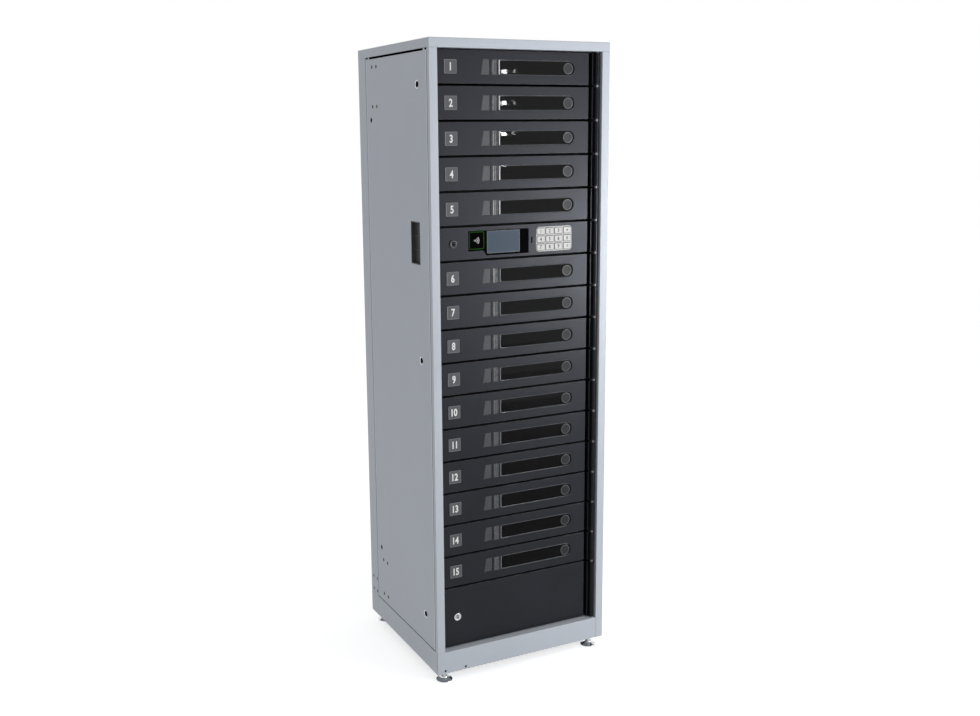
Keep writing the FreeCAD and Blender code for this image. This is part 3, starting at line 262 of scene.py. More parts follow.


# Some coats also have plain shader values, lighter edges (tone, width in mm, share) and dust (tone, share);
# the lighter edges are rubbed wear, and on the door paint a painted highlight along the bends
coatColumns = ("gloss", "low", "high", "fleck", "fleckShare", "grain", "mottle", "rough", "peel", "more")
coatLooks = {
    "silverPaint": (0.2, (0.45, 0.487, 0.54), (0.49, 0.528, 0.583), (0.63, 0.67, 0.72), 0.3, 1300, 5,
        (0.4, 0.5), 0.1,
        {"plain": {"Metallic": 0.1}, "rub": ((0.6, 0.63, 0.67), 1.6, 0.45),
         "dust": ((0.54, 0.55, 0.56), 0.35)}),
    "panelPaint": (0.3, (0.43, 0.467, 0.52), (0.47, 0.508, 0.562), (0.6, 0.64, 0.69), 0.3, 1300, 3.5,
        (0.42, 0.54), 0.12,
        {"plain": {"Metallic": 0.1}, "rub": ((0.58, 0.61, 0.65), 1.4, 0.4),
         "dust": ((0.52, 0.53, 0.54), 0.3)}),
    # the door paint's lighter edge tone is a painted highlight along the door bends
    "doorPaint": (0.175, (0.006, 0.0062, 0.008), (0.009, 0.0093, 0.0118), (0.04, 0.041, 0.046), 0.18, 1100,
        7, (0.36, 0.46), 0.16,
        {"plain": {"Specular Tint": (0.83, 0.88, 1, 1)}, "rub": ((0.15, 0.155, 0.17), 1.6, 0.8),
         "dust": ((0.1, 0.1, 0.1), 0.25)}),
    "hingePaint": (0.11, (0.005, 0.0052, 0.0062), (0.0075, 0.0078, 0.0092), (0.03, 0.031, 0.035), 0.15,
        1100, 9, (0.14, 0.22), 0.06,
        {"plain": {"Specular Tint": (0.83, 0.88, 1, 1)}, "rub": ((0.08, 0.082, 0.088), 0.9, 0.7)}),
    "bayPaint": (0.1, (0.01, 0.01, 0.011), (0.016, 0.016, 0.017), (0.035, 0.035, 0.037), 0.2, 900, 5,
        (0.52, 0.66), 0.2, {"rub": ((0.06, 0.06, 0.06), 1, 0.4), "dust": ((0.1, 0.1, 0.095), 0.3)}),
    # black for painted shade: strips in gaps and seams, discs behind holes and the dark lock centres
    "gapBlack": (0, (0.0012, 0.0012, 0.0014), (0.0022, 0.0022, 0.0024), (0.006, 0.006, 0.006), 0.2, 900, 20,
        (0.6, 0.7), 0.1),
    # a lighter copy of the silver paint, as a painted highlight on the hems along the side panels' edges
    "hemPaint": (0.2, (0.7, 0.735, 0.78), (0.76, 0.795, 0.84), (0.84, 0.86, 0.89), 0.3, 1300, 3.5,
        (0.4, 0.5), 0.1, {"plain": {"Metallic": 0.1}}),
    "blackPlastic": (0.4, (0.012, 0.012, 0.0135), (0.017, 0.017, 0.0185), (0.03, 0.03, 0.032), 0.3, 2200,
        12, (0.42, 0.55), 0.3, {"rub": ((0.03, 0.03, 0.03), 0.8, 0.4)}),
    "pullPlastic": (0.4, (0.042, 0.042, 0.046), (0.054, 0.054, 0.059), (0.06, 0.06, 0.064), 0.3, 2000, 25,
        (0.4, 0.52), 0.25, {"rub": ((0.1, 0.1, 0.105), 1.2, 0.6)}),
    "lightPad": (0.3, (0.03, 0.032, 0.038), (0.042, 0.045, 0.052), (0.13, 0.135, 0.145), 0.3, 1600, 40,
        (0.34, 0.44), 0.2),
    "lightBar": (0.45, (0.036, 0.038, 0.044), (0.054, 0.057, 0.064), (0.12, 0.125, 0.135), 0.3, 1800, 60,
        (0.22, 0.32), 0.12),
    # lit and dim copies of the window's strip: a painted reflection, bright on the upper rows and dark below
    "lightPipe": (0.6, (0.66, 0.67, 0.69), (0.76, 0.77, 0.79), (0.85, 0.85, 0.86), 0.3, 900, 90,
        (0.1, 0.18), 0.05, {"plain": {"Coat Weight": 0.4}}),
    "dimPipe": (0.5, (0.12, 0.124, 0.134), (0.16, 0.165, 0.176), (0.24, 0.245, 0.255), 0.3, 900, 90,
        (0.12, 0.2), 0.05, {"plain": {"Coat Weight": 0.3}}),
    "tilePaint": (0.25, (0.07, 0.074, 0.083), (0.09, 0.095, 0.105), (0.15, 0.155, 0.165), 0.3, 1500, 30,
        (0.4, 0.5), 0.15),
    # lighter than the tile paint: on the number tiles a painted highlight along the raised rim
    "tileRim": (0.35, (0.125, 0.131, 0.142), (0.16, 0.167, 0.18), (0.24, 0.245, 0.255), 0.3, 1500, 60,
        (0.3, 0.4), 0.1, {"plain": {"Metallic": 0.2}}),
    "discPaint": (0.19, (0.011, 0.0115, 0.014), (0.016, 0.0165, 0.02), (0.035, 0.035, 0.04), 0.3, 1500, 50,
        (0.3, 0.42), 0.12),
    "printWhite": (0.3, (0.74, 0.74, 0.74), (0.82, 0.82, 0.82), (0.88, 0.88, 0.88), 0.3, 2500, 80,
        (0.45, 0.55), 0.1),
    "printGrey": (0.2, (0.03, 0.03, 0.031), (0.045, 0.045, 0.047), (0.08, 0.08, 0.08), 0.3, 2500, 80,
        (0.45, 0.55), 0.1),
    "waveWhite": (0.3, (0.36, 0.37, 0.38), (0.44, 0.45, 0.46), (0.5, 0.5, 0.5), 0.3, 2500, 80, (0.3, 0.4),
        0.05),
    "keypadMetal": (0.35, (0.335, 0.335, 0.333), (0.395, 0.395, 0.392), (0.5, 0.5, 0.495), 0.3, 1900, 30,
        (0.32, 0.42), 0.1, {"plain": {"Metallic": 0.15}, "rub": ((0.6, 0.6, 0.59), 0.9, 0.5)}),
    "keyTop": (0.35, (0.42, 0.42, 0.418), (0.48, 0.48, 0.477), (0.6, 0.6, 0.595), 0.3, 1900, 40, (0.3, 0.4),
        0.1, {"plain": {"Metallic": 0.1}, "rub": ((0.72, 0.72, 0.715), 1.3, 0.8)}),
    # near black on each key's bevel and sides: painted shade in the gap round the key
    "keySkirt": (0.3, (0.055, 0.055, 0.055), (0.08, 0.08, 0.079), (0.16, 0.16, 0.158), 0.3, 1900, 40,
        (0.4, 0.5), 0.1),
    "boardGreen": (0.5, (0.008, 0.045, 0.02), (0.012, 0.06, 0.028), (0.05, 0.14, 0.06), 0.3, 500, 120,
        (0.3, 0.4), 0.2),
    # lighter than the window and disc, as a painted highlight on the window bead and the disc rim
    "rimGrey": (0.5, (0.075, 0.078, 0.086), (0.105, 0.109, 0.119), (0.22, 0.22, 0.23), 0.3, 1500, 60,
        (0.16, 0.26), 0.08),
}
metalColumns = ("lines", "marks", "low", "high", "rough", "markRough", "depth")
metalLooks = {
    "chromePlate": ((300, 300, 300), 120, (0.44, 0.445, 0.455), (0.56, 0.565, 0.575), (0.07, 0.13), 0.08,
        0.03),
    "groundSteel": ((700, 700, 3500), 60, (0.15, 0.152, 0.157), (0.22, 0.223, 0.23), (0.2, 0.32), 0.12,
        0.15),
    "zincPlate": ((900, 900, 120), 40, (0.48, 0.48, 0.47), (0.62, 0.62, 0.6), (0.3, 0.45), 0.15, 0.15),
    "darkScrew": ((900, 900, 900), 150, (0.03, 0.025, 0.021), (0.085, 0.072, 0.062), (0.3, 0.42), 0.1, 0.2),
    # a lighter copy of the chrome, as a painted highlight on the feet and the panel lock rings
    "brightChrome": ((300, 300, 300), 120, (0.7, 0.705, 0.715), (0.8, 0.805, 0.81), (0.08, 0.15), 0.08,
        0.03),
    # a darker copy of the chrome, as painted shade on the lock plugs and the control lock
    "darkChrome": ((500, 500, 500), 150, (0.03, 0.031, 0.034), (0.06, 0.062, 0.066), (0.16, 0.26), 0.1,
        0.08),
}
glossyColumns = ("gloss", "low", "high", "marks", "grain", "mottle", "rough", "peel", "more")
glossyLooks = {
    "glossFront": (0.006, (0.0012, 0.0012, 0.0014), (0.002, 0.002, 0.0022), 30, 700, 20, (0.06, 0.16),
        0.02),
    "smokedWindow": (0.5, (0.006, 0.006, 0.008), (0.01, 0.01, 0.013), 18, 260, 9, (0.022, 0.034), 0,
        {"plain": {"Transmission Weight": 0.8, "IOR": 1.15}}),
}
for finish, columns, looks in ((coatedFinish, coatColumns, coatLooks),
                               (metalFinish, metalColumns, metalLooks),
                               (glossFinish, glossyColumns, glossyLooks)):
    for name, row in looks.items():
        finish(name, dict(zip(columns, row)))


# The lit screen: a blue-grey picture area with faint pixel rows
def makeScreenGlass():
    plain = {"Base Color": (0.004, 0.005, 0.006, 1), "Roughness": 0.12, "Specular IOR Level": 0.06,
             "Emission Strength": 1.0}
    tree, shader = startMaterial("screenGlass", plain)
    low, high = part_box("display_module")
    across = addNode(tree, "SeparateXYZ", {}, {0: objectPlace(tree)}).outputs
    sweep = spread(tree, across["X"], low.x, high.x)
    glow = tint(tree, (0.058, 0.080, 0.112), (0.084, 0.108, 0.145), sweep)
    rows = addNode(tree, "TexWave", {"bands_direction": "Z"}, {"Vector": objectPlace(tree), "Scale": 700.0})
    glow = tint(tree, glow, (0.072, 0.096, 0.130), scaled(tree, rows.outputs[1], 0.35))
    marks = placeGroup(tree, "smudges", {"Scale": 40.0})
    feed(tree, shader, {"Emission Color": glow, "Roughness": spread(tree, marks["Mask"], 0, 1, 0.08, 0.18)})


# The reader's dim green light line
def makeLedGreen():
    plain = {"Emission Strength": 1.0, "Roughness": 0.3, "Specular IOR Level": 0.02}
    tree, shader = startMaterial("ledGreen", plain)
    coat = placeGroup(tree, "powderCoat", {"Grain": 900.0, "Mottle": 70.0})
    colours = {"Base Color": ((0.004, 0.020, 0.003), (0.006, 0.030, 0.004)),
               "Emission Color": ((0.005, 0.038, 0.002), (0.009, 0.060, 0.004))}
    feed(tree, shader, {label: tint(tree, *pair, coat["Cloud"]) for label, pair in colours.items()})


makeScreenGlass()
makeLedGreen()
print("materials made:", len(bpy.data.materials))


# Settings of a piece, with the lengths given in mm
def sized(lengths, plain=None):
    def scale(value):
        return tuple(scale(item) for item in value) if isinstance(value, tuple) else value * mm

    return SimpleNamespace(**{key: scale(value) for key, value in lengths.items()}, **(plain or {}))


# Mesh helpers
meshLook = sized(
    {"shellWeld": 0.002, "weld": 0.001, "onAxis": 0.0001, "drillDeep": 6, "backEdge": 1},
    {"flat": 0.5, "bendFrom": 25, "sharpFrom": 38, "foldShare": 1.002, "foldArea": 0.01 * mm * mm,
     "sameWay": 0.002, "cornerSteps": 5})


def closed(part):
    ops.recalc_face_normals(part, faces=part.faces)
    return part


def turned(part, axis, degrees=90):
    turn = Matrix.Rotation(radians(degrees), 3, axis)
    ops.rotate(part, cent=(0, 0, 0), matrix=turn, verts=part.verts)
    return part


def linked(name, data):
    item = bpy.data.objects.new(name, data)
    bpy.context.scene.collection.objects.link(item)
    return item


def meshFrom(part, name):
    mesh = bpy.data.meshes.new(name)
    part.to_mesh(mesh)
    part.free()
    return mesh


def partFrom(mesh):
    part = bmesh.new()
    part.from_mesh(mesh)
    return part


def spanOf(verts):
    places = [vert.co for vert in verts]
    return [Vector([pick(place[i] for place in places) for i in range(3)]) for pick in (min, max)]


def centreOf(node):
    low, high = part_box(node)
    return (low + high) / 2


# Angles in equal steps, with both ends
def arc(steps, start=0, sweep=180):
    return [radians(start + sweep * i / steps) for i in range(steps + 1)]


def onArc(x, z, radius, angles):
    return [(x + radius * cos(a), z + radius * sin(a)) for a in angles]


# The separate solids of a CAD node, as meshes of their own
def shellsOf(node):
    whole = partFrom(nodes[node].data)
    ops.remove_doubles(whole, verts=whole.verts, dist=meshLook.shellWeld)
    whole.verts.index_update()
    seen, shells = set(), []
    for start in whole.verts:
        if start.index in seen:
            continue
        seen.add(start.index)
        waiting, members = [start], set()
        while waiting:
            vert = waiting.pop()
            members.add(vert.index)
            for edge in vert.link_edges:
                other = edge.other_vert(vert)
                if other.index not in seen:
                    seen.add(other.index)
                    waiting.append(other)
        shell = whole.copy()
        outside = [vert for vert in shell.verts if vert.index not in members]
        ops.delete(shell, geom=outside, context="VERTS")
        shells.append(shell)
    whole.free()
    return shells


# Rounds every bend and cut edge of a mesh
def soften(shell, width, segments=2):
    ops.dissolve_limit(shell, angle_limit=radians(meshLook.flat), verts=shell.verts, edges=shell.edges)
    least = radians(meshLook.bendFrom)
    sharp = [edge for edge in shell.edges if len(edge.link_faces) == 2 and edge.calc_face_angle(0) > least]
    ops.bevel(shell, geom=sharp, offset=width, offset_type="OFFSET", segments=segments, profile=0.5,
              affect="EDGES", clamp_overlap=True)
    mendFlats(shell)
    return shell


# A flat with holes can fold over itself when its bends are rounded: it is then filled anew from its rim
def mendFlats(shell):
    shell.normal_update()
    shell.faces.index_update()
    filled = [0.0] * len(shell.faces)
    for loops in shell.calc_loop_triangles():
        a, b, c = (loop.vert.co for loop in loops)
        filled[loops[0].face.index] += (b - a).cross(c - a).length / 2
    folded = [face for face in shell.faces
              if filled[face.index] > face.calc_area() * meshLook.foldShare + meshLook.foldArea]
    for face in folded:
        if not face.is_valid:
            continue
        normal = face.normal.copy()
        flat = [face]
        for member in flat:   # grows while it is walked
            for other in (other for edge in member.edges for other in edge.link_faces):
                if other not in flat and other.normal.angle(normal, pi) < meshLook.sameWay:
                    flat.append(other)
        rim = [edge for member in flat for edge in member.edges
               if sum(link in flat for link in edge.link_faces) == 1]
        ops.delete(shell, geom=flat, context="FACES")
        rim = [edge for edge in rim if edge.is_valid]
        ops.triangle_fill(shell, use_beauty=True, edges=rim, normal=normal)
        shell.normal_update()


# Joins a part to a whole: with an index its faces take that material, without one they keep theirs
def addPart(whole, part, index=0, move=None):
    if move is not None:
        ops.translate(part, verts=part.verts, vec=move)
    if index is not None:
        for face in part.faces:
            face.material_index = index
    mesh = meshFrom(part, "part")
    whole.from_mesh(mesh)
    bpy.data.meshes.remove(mesh)


def makePiece(name, whole, body, finishes, replaced=()):
    for face in closed(whole).faces:
        face.smooth = True
    mesh = meshFrom(whole, name)
    mesh.set_sharp_from_angle(angle=radians(meshLook.sharpFrom))
    for finish in finishes:
        mesh.materials.append(bpy.data.materials[finish])
    piece = linked(name, mesh)
    piece.modifiers.new("weightedNormals", "WEIGHTED_NORMAL").keep_sharp = True
    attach(piece, body)
    if replaced:
        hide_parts(*replaced)


# A piece in place of a CAD node
def dress(node, whole, body, finishes):
    makePiece(node + ".dressed", whole, body, finishes, [node])


# Skins over a row of loops with as many points each, and closes both ends or, as a ring, meets itself
def loft(loops, indices=None, ring=False):
    part = bmesh.new()
    rings = [[part.verts.new(point) for point in loop] for loop in loops]
    count = len(rings[0])
    indices = indices or [0] * len(rings)
    for index, one, other in zip(indices, rings, rings[1:] + rings[:1] if ring else rings[1:]):
        for i in range(count):
            j = (i + 1) % count
            part.faces.new((one[i], one[j], other[j], other[i])).material_index = index
    for end in () if ring else (0, -1):
        part.faces.new(rings[end]).material_index = indices[end]
    return closed(part)


def rectangle(left, low, right, high):
    return [(left, low), (right, low), (right, high), (left, high)]


# A box drawn in by an inset, with round corners that shrink with it to a least radius
def roundRect(box, corner, inset=0, least=0):
    left, low, right, high = box
    radius = max(corner - inset, least)
    deep = inset + radius
    corners = ((right - deep, high - deep, 0), (left + deep, high - deep, 90),
               (left + deep, low + deep, 180), (right - deep, low + deep, 270))
    return [point for x, z, start in corners
            for point in onArc(x, z, radius, arc(meshLook.cornerSteps, start, 90))]


def facing(points, y):
    return [Vector((x, y, z)) for x, z in points]


# A turned piece: half profile of radius and height, turned about the local Z axis
def lathe(profile, steps=48):
    part = bmesh.new()
    rings = []
    for radius, height in profile:
        if radius < meshLook.onAxis:
            rings.append([part.verts.new((0, 0, height))])
        else:
            circle = onArc(0, 0, radius, [2 * pi * i / steps for i in range(steps)])
            rings.append([part.verts.new((x, y, height)) for x, y in circle])
    for a, b in zip(rings, rings[1:]):
        for i in range(steps):
            j = (i + 1) % steps
            corners = [a[i % len(a)], a[j % len(a)], b[j % len(b)], b[i % len(b)]]
            part.faces.new(list(dict.fromkeys(corners)))
    return closed(part)


def plug(radius, low, high):
    return lathe([(0, low), (radius, low), (radius, high), (0, high)], steps=20)


# A dark disc behind an open hole, as painted shade inside it
def holeBack(radius):
    return plug(radius + meshLook.backEdge, 0, meshLook.backEdge)


def extruded(outline, axis, low, high):
    order = {"x": (2, 0, 1), "y": (0, 2, 1), "z": (0, 1, 2)}[axis]
    part = bmesh.new()
    ends = [[part.verts.new([(u, v, along)[i] for i in order]) for u, v in outline] for along in (low, high)]
    for ring in ends:
        part.faces.new(ring)
    for i in range(len(outline)):
        j = (i + 1) % len(outline)
        part.faces.new((ends[0][i], ends[0][j], ends[1][j], ends[1][i]))
    return closed(part)


# A flat plate in the front plane with holes through it
def holedPlate(outer, holes, y, depth):
    part = bmesh.new()
    for loop in [outer] + holes:
        ring = [part.verts.new((x, y, z)) for x, z in loop]
        for a, b in zip(ring, ring[1:] + ring[:1]):
            part.edges.new((a, b))
    ops.triangle_fill(part, use_beauty=True, use_dissolve=True, edges=part.edges)
    made = ops.extrude_face_region(part, geom=part.faces[:])["geom"]
    raised = [item for item in made if isinstance(item, bmesh.types.BMVert)]
    ops.translate(part, verts=raised, vec=(0, depth, 0))
    return closed(part)


# Round holes through a sheet, along x or y
def drilled(part, places, radius, axis):
    cutters = bmesh.new()
    for place in places:
        pin = plug(radius, -meshLook.drillDeep, meshLook.drillDeep)
        addPart(cutters, turned(pin, "Y" if axis == "x" else "X"), 0, place)
    holder, tool = (linked("blank", meshFrom(closed(item), "blank")) for item in (part, cutters))
    cut = holder.modifiers.new("holes", "BOOLEAN")
    cut.object = tool
    cut.operation = "DIFFERENCE"
    cut.solver = "EXACT"
    bpy.context.view_layer.update()
    solved = holder.evaluated_get(bpy.context.evaluated_depsgraph_get())
    mesh = bpy.data.meshes.new_from_object(solved)
    result = partFrom(mesh)
    old = [holder.data, tool.data, mesh]
    for item in (holder, tool):
        bpy.data.objects.remove(item)
    for item in old:
        bpy.data.meshes.remove(item)
    return result


# Raised print that faces the front
def printedText(text, size, place, depth, bold, narrow):
    curve = bpy.data.curves.new("print", "FONT")
    settings = {"body": text, "size": size, "extrude": depth / 2, "offset": bold, "align_x": "CENTER",
                "align_y": "CENTER", "resolution_u": 4}
    for key, value in settings.items():
        setattr(curve, key, value)
    holder = bpy.data.objects.new("print", curve)
    mesh = bpy.data.meshes.new_from_object(holder)
    part = partFrom(mesh)
    ops.remove_doubles(part, verts=part.verts, dist=meshLook.weld)
    ops.scale(part, vec=(narrow, 1, 1), verts=part.verts)
    low, high = spanOf(turned(part, "X").verts)
    ops.translate(part, verts=part.verts, vec=Vector(place) - Vector((0, depth / 2, 0)) - (low + high) / 2)
    bpy.data.objects.remove(holder)
    bpy.data.curves.remove(curve)
    bpy.data.meshes.remove(mesh)
    return part


# Sheet metal of the cabinet: the frame's own shapes with rounded bends, by finish, slot and bend in mm
sheetLooks = {
    "top_cap": ("silverPaint", "silver_steel", 1.2),
    "front_post_left": ("silverPaint", "silver_steel", 1.3),
    "front_post_right": ("silverPaint", "silver_steel", 1.3),
    "rear_posts": ("silverPaint", "silver_steel", 0.95),
    "left_side_panel": ("panelPaint", "panel_steel", 0.5),
    "right_side_panel": ("panelPaint", "panel_steel", 0.5),
    "rear_panel": ("panelPaint", "panel_steel", 0.5),
    "power_inlet": ("blackPlastic", "black_plastic", 0.5),
    "panel_pulls": ("pullPlastic", "black_plastic", 0.6),
    "bay_shelves": ("bayPaint", "bay_steel", 0.4),
    "base_floor": ("bayPaint", "bay_steel", 0.5),
    "charging_outlets": ("blackPlastic", "black_plastic", 0.6),
    "door_latches": ("zincPlate", "latch_steel", 0.6),
    "power_unit": ("panelPaint", "panel_steel", 0.6),
    "hinge_rod": ("groundSteel", "bright_steel", 0.8),
}
# open holes that show dark in the sides: radius, then places from the front plane back and from the floor up
sideHoles = (7.0 * mm, [(396 * mm, 262 * mm), (396 * mm, 1518 * mm)])
sheetHoles = {"left_side_panel": sideHoles, "right_side_panel": sideHoles,
              "rear_posts": (4.6 * mm, [(deep * mm, up * mm) for deep in (437, 465) for up in (107, 147)])}


def dressSheet(node, finish, slot, width):
    whole = bmesh.new()
    for shell in shellsOf(node):
        part = soften(shell, width * mm)
        if node in sheetHoles:
            radius, places = sheetHoles[node]
            low, high = spanOf(part.verts)
            side = low.x if low.x + high.x < 0 else high.x
            part = drilled(part, [(side, front + deep, up) for deep, up in places], radius, "x")
        addPart(whole, part)
    dress(node, whole, "cabinet", [finish])


for node, look in sheetLooks.items():
    dressSheet(node, *look)
nodes["bay_walls"].data.materials.clear()
nodes["bay_walls"].data.materials.append(bpy.data.materials["bayPaint"])
print("cabinet sheets dressed")


# Plinth rails: four folded channels
plinthLook = sized(
    {"steel": 2, "flange": 50, "sideFlange": 30, "bend": 0.9, "stripEdge": 0.3, "postFace": 23.3,
     "postDeep": 14.3, "hole": 3.4, "holeUp": 39, "holeAcross": (-240.7, -179.3)})


def channelOutline(web, reach, step, low, high, steel):
    inner = web + step * steel
    tip = web + step * reach
    return [(web, low), (tip, low), (tip, low + steel), (inner, low + steel), (inner, high - steel),
            (tip, high - steel), (tip, high), (web, high)]


def buildPlinth():
    look = plinthLook
    low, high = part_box("plinth_rails")
    steel, bend = look.steel, look.bend
    y0, y1 = low.y + look.flange, high.y - look.flange
    whole = bmesh.new()
    for web, step, right in ((low.y, 1, high.x - look.postFace), (high.y, -1, high.x)):
        outline = channelOutline(web, look.flange, step, low.z, high.z, steel)
        rail = soften(extruded(outline, "x", low.x, right), bend)
        if step > 0:
            rail = drilled(rail, [(x, web, look.holeUp) for x in look.holeAcross], look.hole, "y")
        addPart(whole, rail)
    for web, step, start in ((low.x, 1, low.y + steel + bend), (high.x, -1, low.y + look.postDeep)):
        outline = channelOutline(web, look.sideFlange, step, low.z, high.z, steel)
        addPart(whole, soften(extruded(outline, "y", y0, y1), bend))
        strip = rectangle(web, low.z, web + step * steel, high.z)
        for ends in ((start, y0), (y1, high.y - steel)):
            addPart(whole, soften(extruded(strip, "y", *ends), look.stripEdge))
    # each hole is backed by a dark disc of painted shade
    for x in look.holeAcross:
        place = (x, low.y + steel, look.holeUp)
        addPart(whole, turned(holeBack(look.hole), "X", -90), 1, place)
    dress("plinth_rails", whole, "cabinet", ["silverPaint", "gapBlack"])


buildPlinth()
print("plinth built")


# Doors: the leaf's solids are told apart by where they lie and how wide they are
doorLook = sized(
    {"width": 450, "leafFrom": 400, "bend": 1.6, "hingeFrom": 220, "hingeBend": 0.35, "strikerTo": -225,
     "strikerEdge": 0.4, "ringTo": 25, "ringEdge": 0.6})
windowLook = sized(
    {"padStart": 129, "padSlant": 6, "padWidth": 25, "padDip": 1, "padEdge": 0.25, "barGap": 5.6,
     "barWidth": 15.5, "barSink": 0.1, "pipeWidth": 2.8, "pipeInset": 1.9, "pipeTrim": 0.8, "pipeSink": 1,
     "lensGap": 3, "lensEnd": 43.9, "half": 19, "fit": 0.2, "sink": 0.45, "crown": 0.52, "deep": 3.5,
     "discRadius": 14.2, "discInset": 19.6, "discSink": 0.25, "discRim": 1,
     "discLip": ((0, 0.35), (0.6, 0.55), (1.3, 0.35)),
     "bead": ((0, 0.6), (0.1, 0.05), (0.6, -0.3), (1.2, -0.05), (1.3, 0.6))},
    {"barDips": ((0, 0.5), (0.06, 0.05), (0.16, 0.05), (0.26, 0.75), (0.46, 0.75), (0.54, 0.3),
                 (0.62, 0.75), (0.78, 0.75), (0.86, 0.05), (0.94, 0.05), (1, 0.5)),
     "pipeRise": 0.55, "pipeSteps": 8, "columns": 18, "roundSteps": 12, "roundTurn": 88, "rows": 14,
     "beadTurn": 20, "beadSide": 6, "litRows": 5})
tileLook = sized(
    {"inset": 25, "size": 35, "depth": 1.2, "corner": 2, "least": 0.6, "edge": 0.4, "rim": 1.5,
     "recess": 0.35, "digit": 27, "print": 0.3, "bold": 0.75},
    {"narrow": 0.76})


# A bar standing up, whose front follows a profile of x and depth
def sideways(profile, z0, z1, yFront, yBack):
    outline = [(x, yFront + dip) for x, dip in profile]
    outline += [(profile[-1][0], yBack), (profile[0][0], yBack)]
    return extruded(outline, "z", z0, z1)


# The window's outline, drawn in by an inset
def stadium(left, right, middle, half, inset):
    sides, reach = windowLook.beadSide, half - inset
    turn, start = right - half, left + inset
    points = [(start + (turn - start) * i / sides, middle - reach) for i in range(sides)]
    points += onArc(turn, middle, reach, arc(windowLook.beadTurn, -90))
    return points + [(turn + (start - turn) * i / sides, middle + reach) for i in range(1, sides + 1)]


# A grid bowed from top to bottom, with a round right end, closed behind
def crownedWindow(left, right, middle, half, face, back):
    look = windowLook
    turn = right - half
    across = [left + (turn - left) * i / look.columns for i in range(look.columns)]
    across += [turn + half * sin(a) for a in arc(look.roundSteps, 0, look.roundTurn)]
    part = bmesh.new()
    columns = []
    for x in across:
        reach = sqrt(half ** 2 - max(x - turn, 0) ** 2)
        heights = [reach * (2 * j / look.rows - 1) for j in range(look.rows + 1)]
        columns.append([part.verts.new((x, face - look.crown * (1 - (z / half) ** 2), middle + z))
                        for z in heights])
    for one, other in zip(columns, columns[1:]):
        for j in range(look.rows):
            part.faces.new((one[j], other[j], other[j + 1], one[j + 1]))
    rim = [column[0] for column in columns] + columns[-1][1:]
    rim += [column[-1] for column in reversed(columns[:-1])] + list(reversed(columns[0][1:-1]))
    hidden = [part.verts.new((vert.co.x, back, vert.co.z)) for vert in rim]
    for i in range(len(rim)):
        after = (i + 1) % len(rim)
        part.faces.new((rim[i], hidden[i], hidden[after], rim[after]))
    part.faces.new(hidden)
    return closed(part)


# The disc at the window's round end, in the window's fifth finish, with its rim in the sixth, a lighter grey
# as a painted highlight
def plainDisc():
    radius, lip = windowLook.discRadius, windowLook.discLip
    profile = [(radius - inset, high) for inset, high in lip]
    disc = lathe([(0, 0), (radius, 0)] + profile + [(0, profile[-1][1])])
    for face in disc.faces:
        reach = max(hypot(vert.co.x, vert.co.y) for vert in face.verts)
        raised = min(vert.co.z for vert in face.verts) > 0
        face.material_index = 5 if raised and reach > radius - windowLook.discRim else 4
    return turned(disc, "X")


def buildWindow(name, left, middle, pipe):
    look = windowLook
    fit, half = look.fit, look.half - look.fit
    z0, z1 = middle - half, middle + half
    face, back = doorFace + look.sink, doorFace + look.deep
    whole = bmesh.new()
    padLeft = left + look.padStart
    padEnd = padLeft + look.padWidth
    corners = [(padLeft + fit, z0), (padEnd - fit, z0), (padEnd - fit, z1), (padLeft + look.padSlant, z1)]
    slope = look.padDip / look.padWidth
    frontLoop = [Vector((x, face + slope * (x - padLeft), z)) for x, z in corners]
    addPart(whole, soften(loft([facing(corners, back), frontLoop]), look.padEdge), 0)
    barLeft = padEnd + look.barGap
    barWidth = look.barWidth - 2 * fit
    profile = [(barLeft + fit + share * barWidth, dip * mm) for share, dip in look.barDips]
    addPart(whole, sideways(profile, z0, z1, doorFace + look.barSink, back), 1)
    pipeLeft = barLeft + look.barWidth + look.lensGap + look.pipeInset
    radius, trim = look.pipeWidth / 2, look.pipeTrim
    profile = [(pipeLeft + radius - radius * cos(a), -look.pipeRise * radius * sin(a))
               for a in arc(look.pipeSteps)]
    addPart(whole, sideways(profile, z0 + trim, z1 - trim, doorFace + look.pipeSink, back), 2)
    ends = (pipeLeft + look.pipeWidth + trim, left + doorLook.width - look.lensEnd - fit)
    addPart(whole, crownedWindow(*ends, middle, half, face, back), 3)
    place = (ends[1] - look.discInset, face - look.crown + look.discSink, middle)
    addPart(whole, plainDisc(), None, place)
    # the bead round the window, in the lighter rim grey as a painted highlight
    bead = [facing(stadium(*ends, middle, half, inset), face + deep) for inset, deep in look.bead]
    addPart(whole, loft(bead, ring=True), 5)
    makePiece(name + ".window", whole, name,
              ["lightPad", "lightBar", pipe, "smokedWindow", "discPaint", "rimGrey"])


def buildNumber(name, number, left, middle):
    look = tileLook
    half, edge, rim = look.size / 2, look.edge, look.rim
    x = left + look.inset + half
    box = (x - half, middle - half, x + half, middle + half)
    face = doorFace - look.depth
    floor = face + look.recess
    steps = ((0, doorFace), (0, face + edge), (edge, face), (rim, face), (rim + edge, floor))
    loops = [facing(roundRect(box, look.corner, inset, look.least), y) for inset, y in steps]
    whole = bmesh.new()
    # the rim's sides and top take the lighter rim finish, a painted highlight
    addPart(whole, loft(loops, [1, 1, 1, 0]), None)
    text = printedText(str(number), look.digit, (x, floor, middle), look.print, look.bold, look.narrow)
    addPart(whole, text, 2)
    makePiece(name + ".number", whole, name, ["tilePaint", "tileRim", "printWhite"])


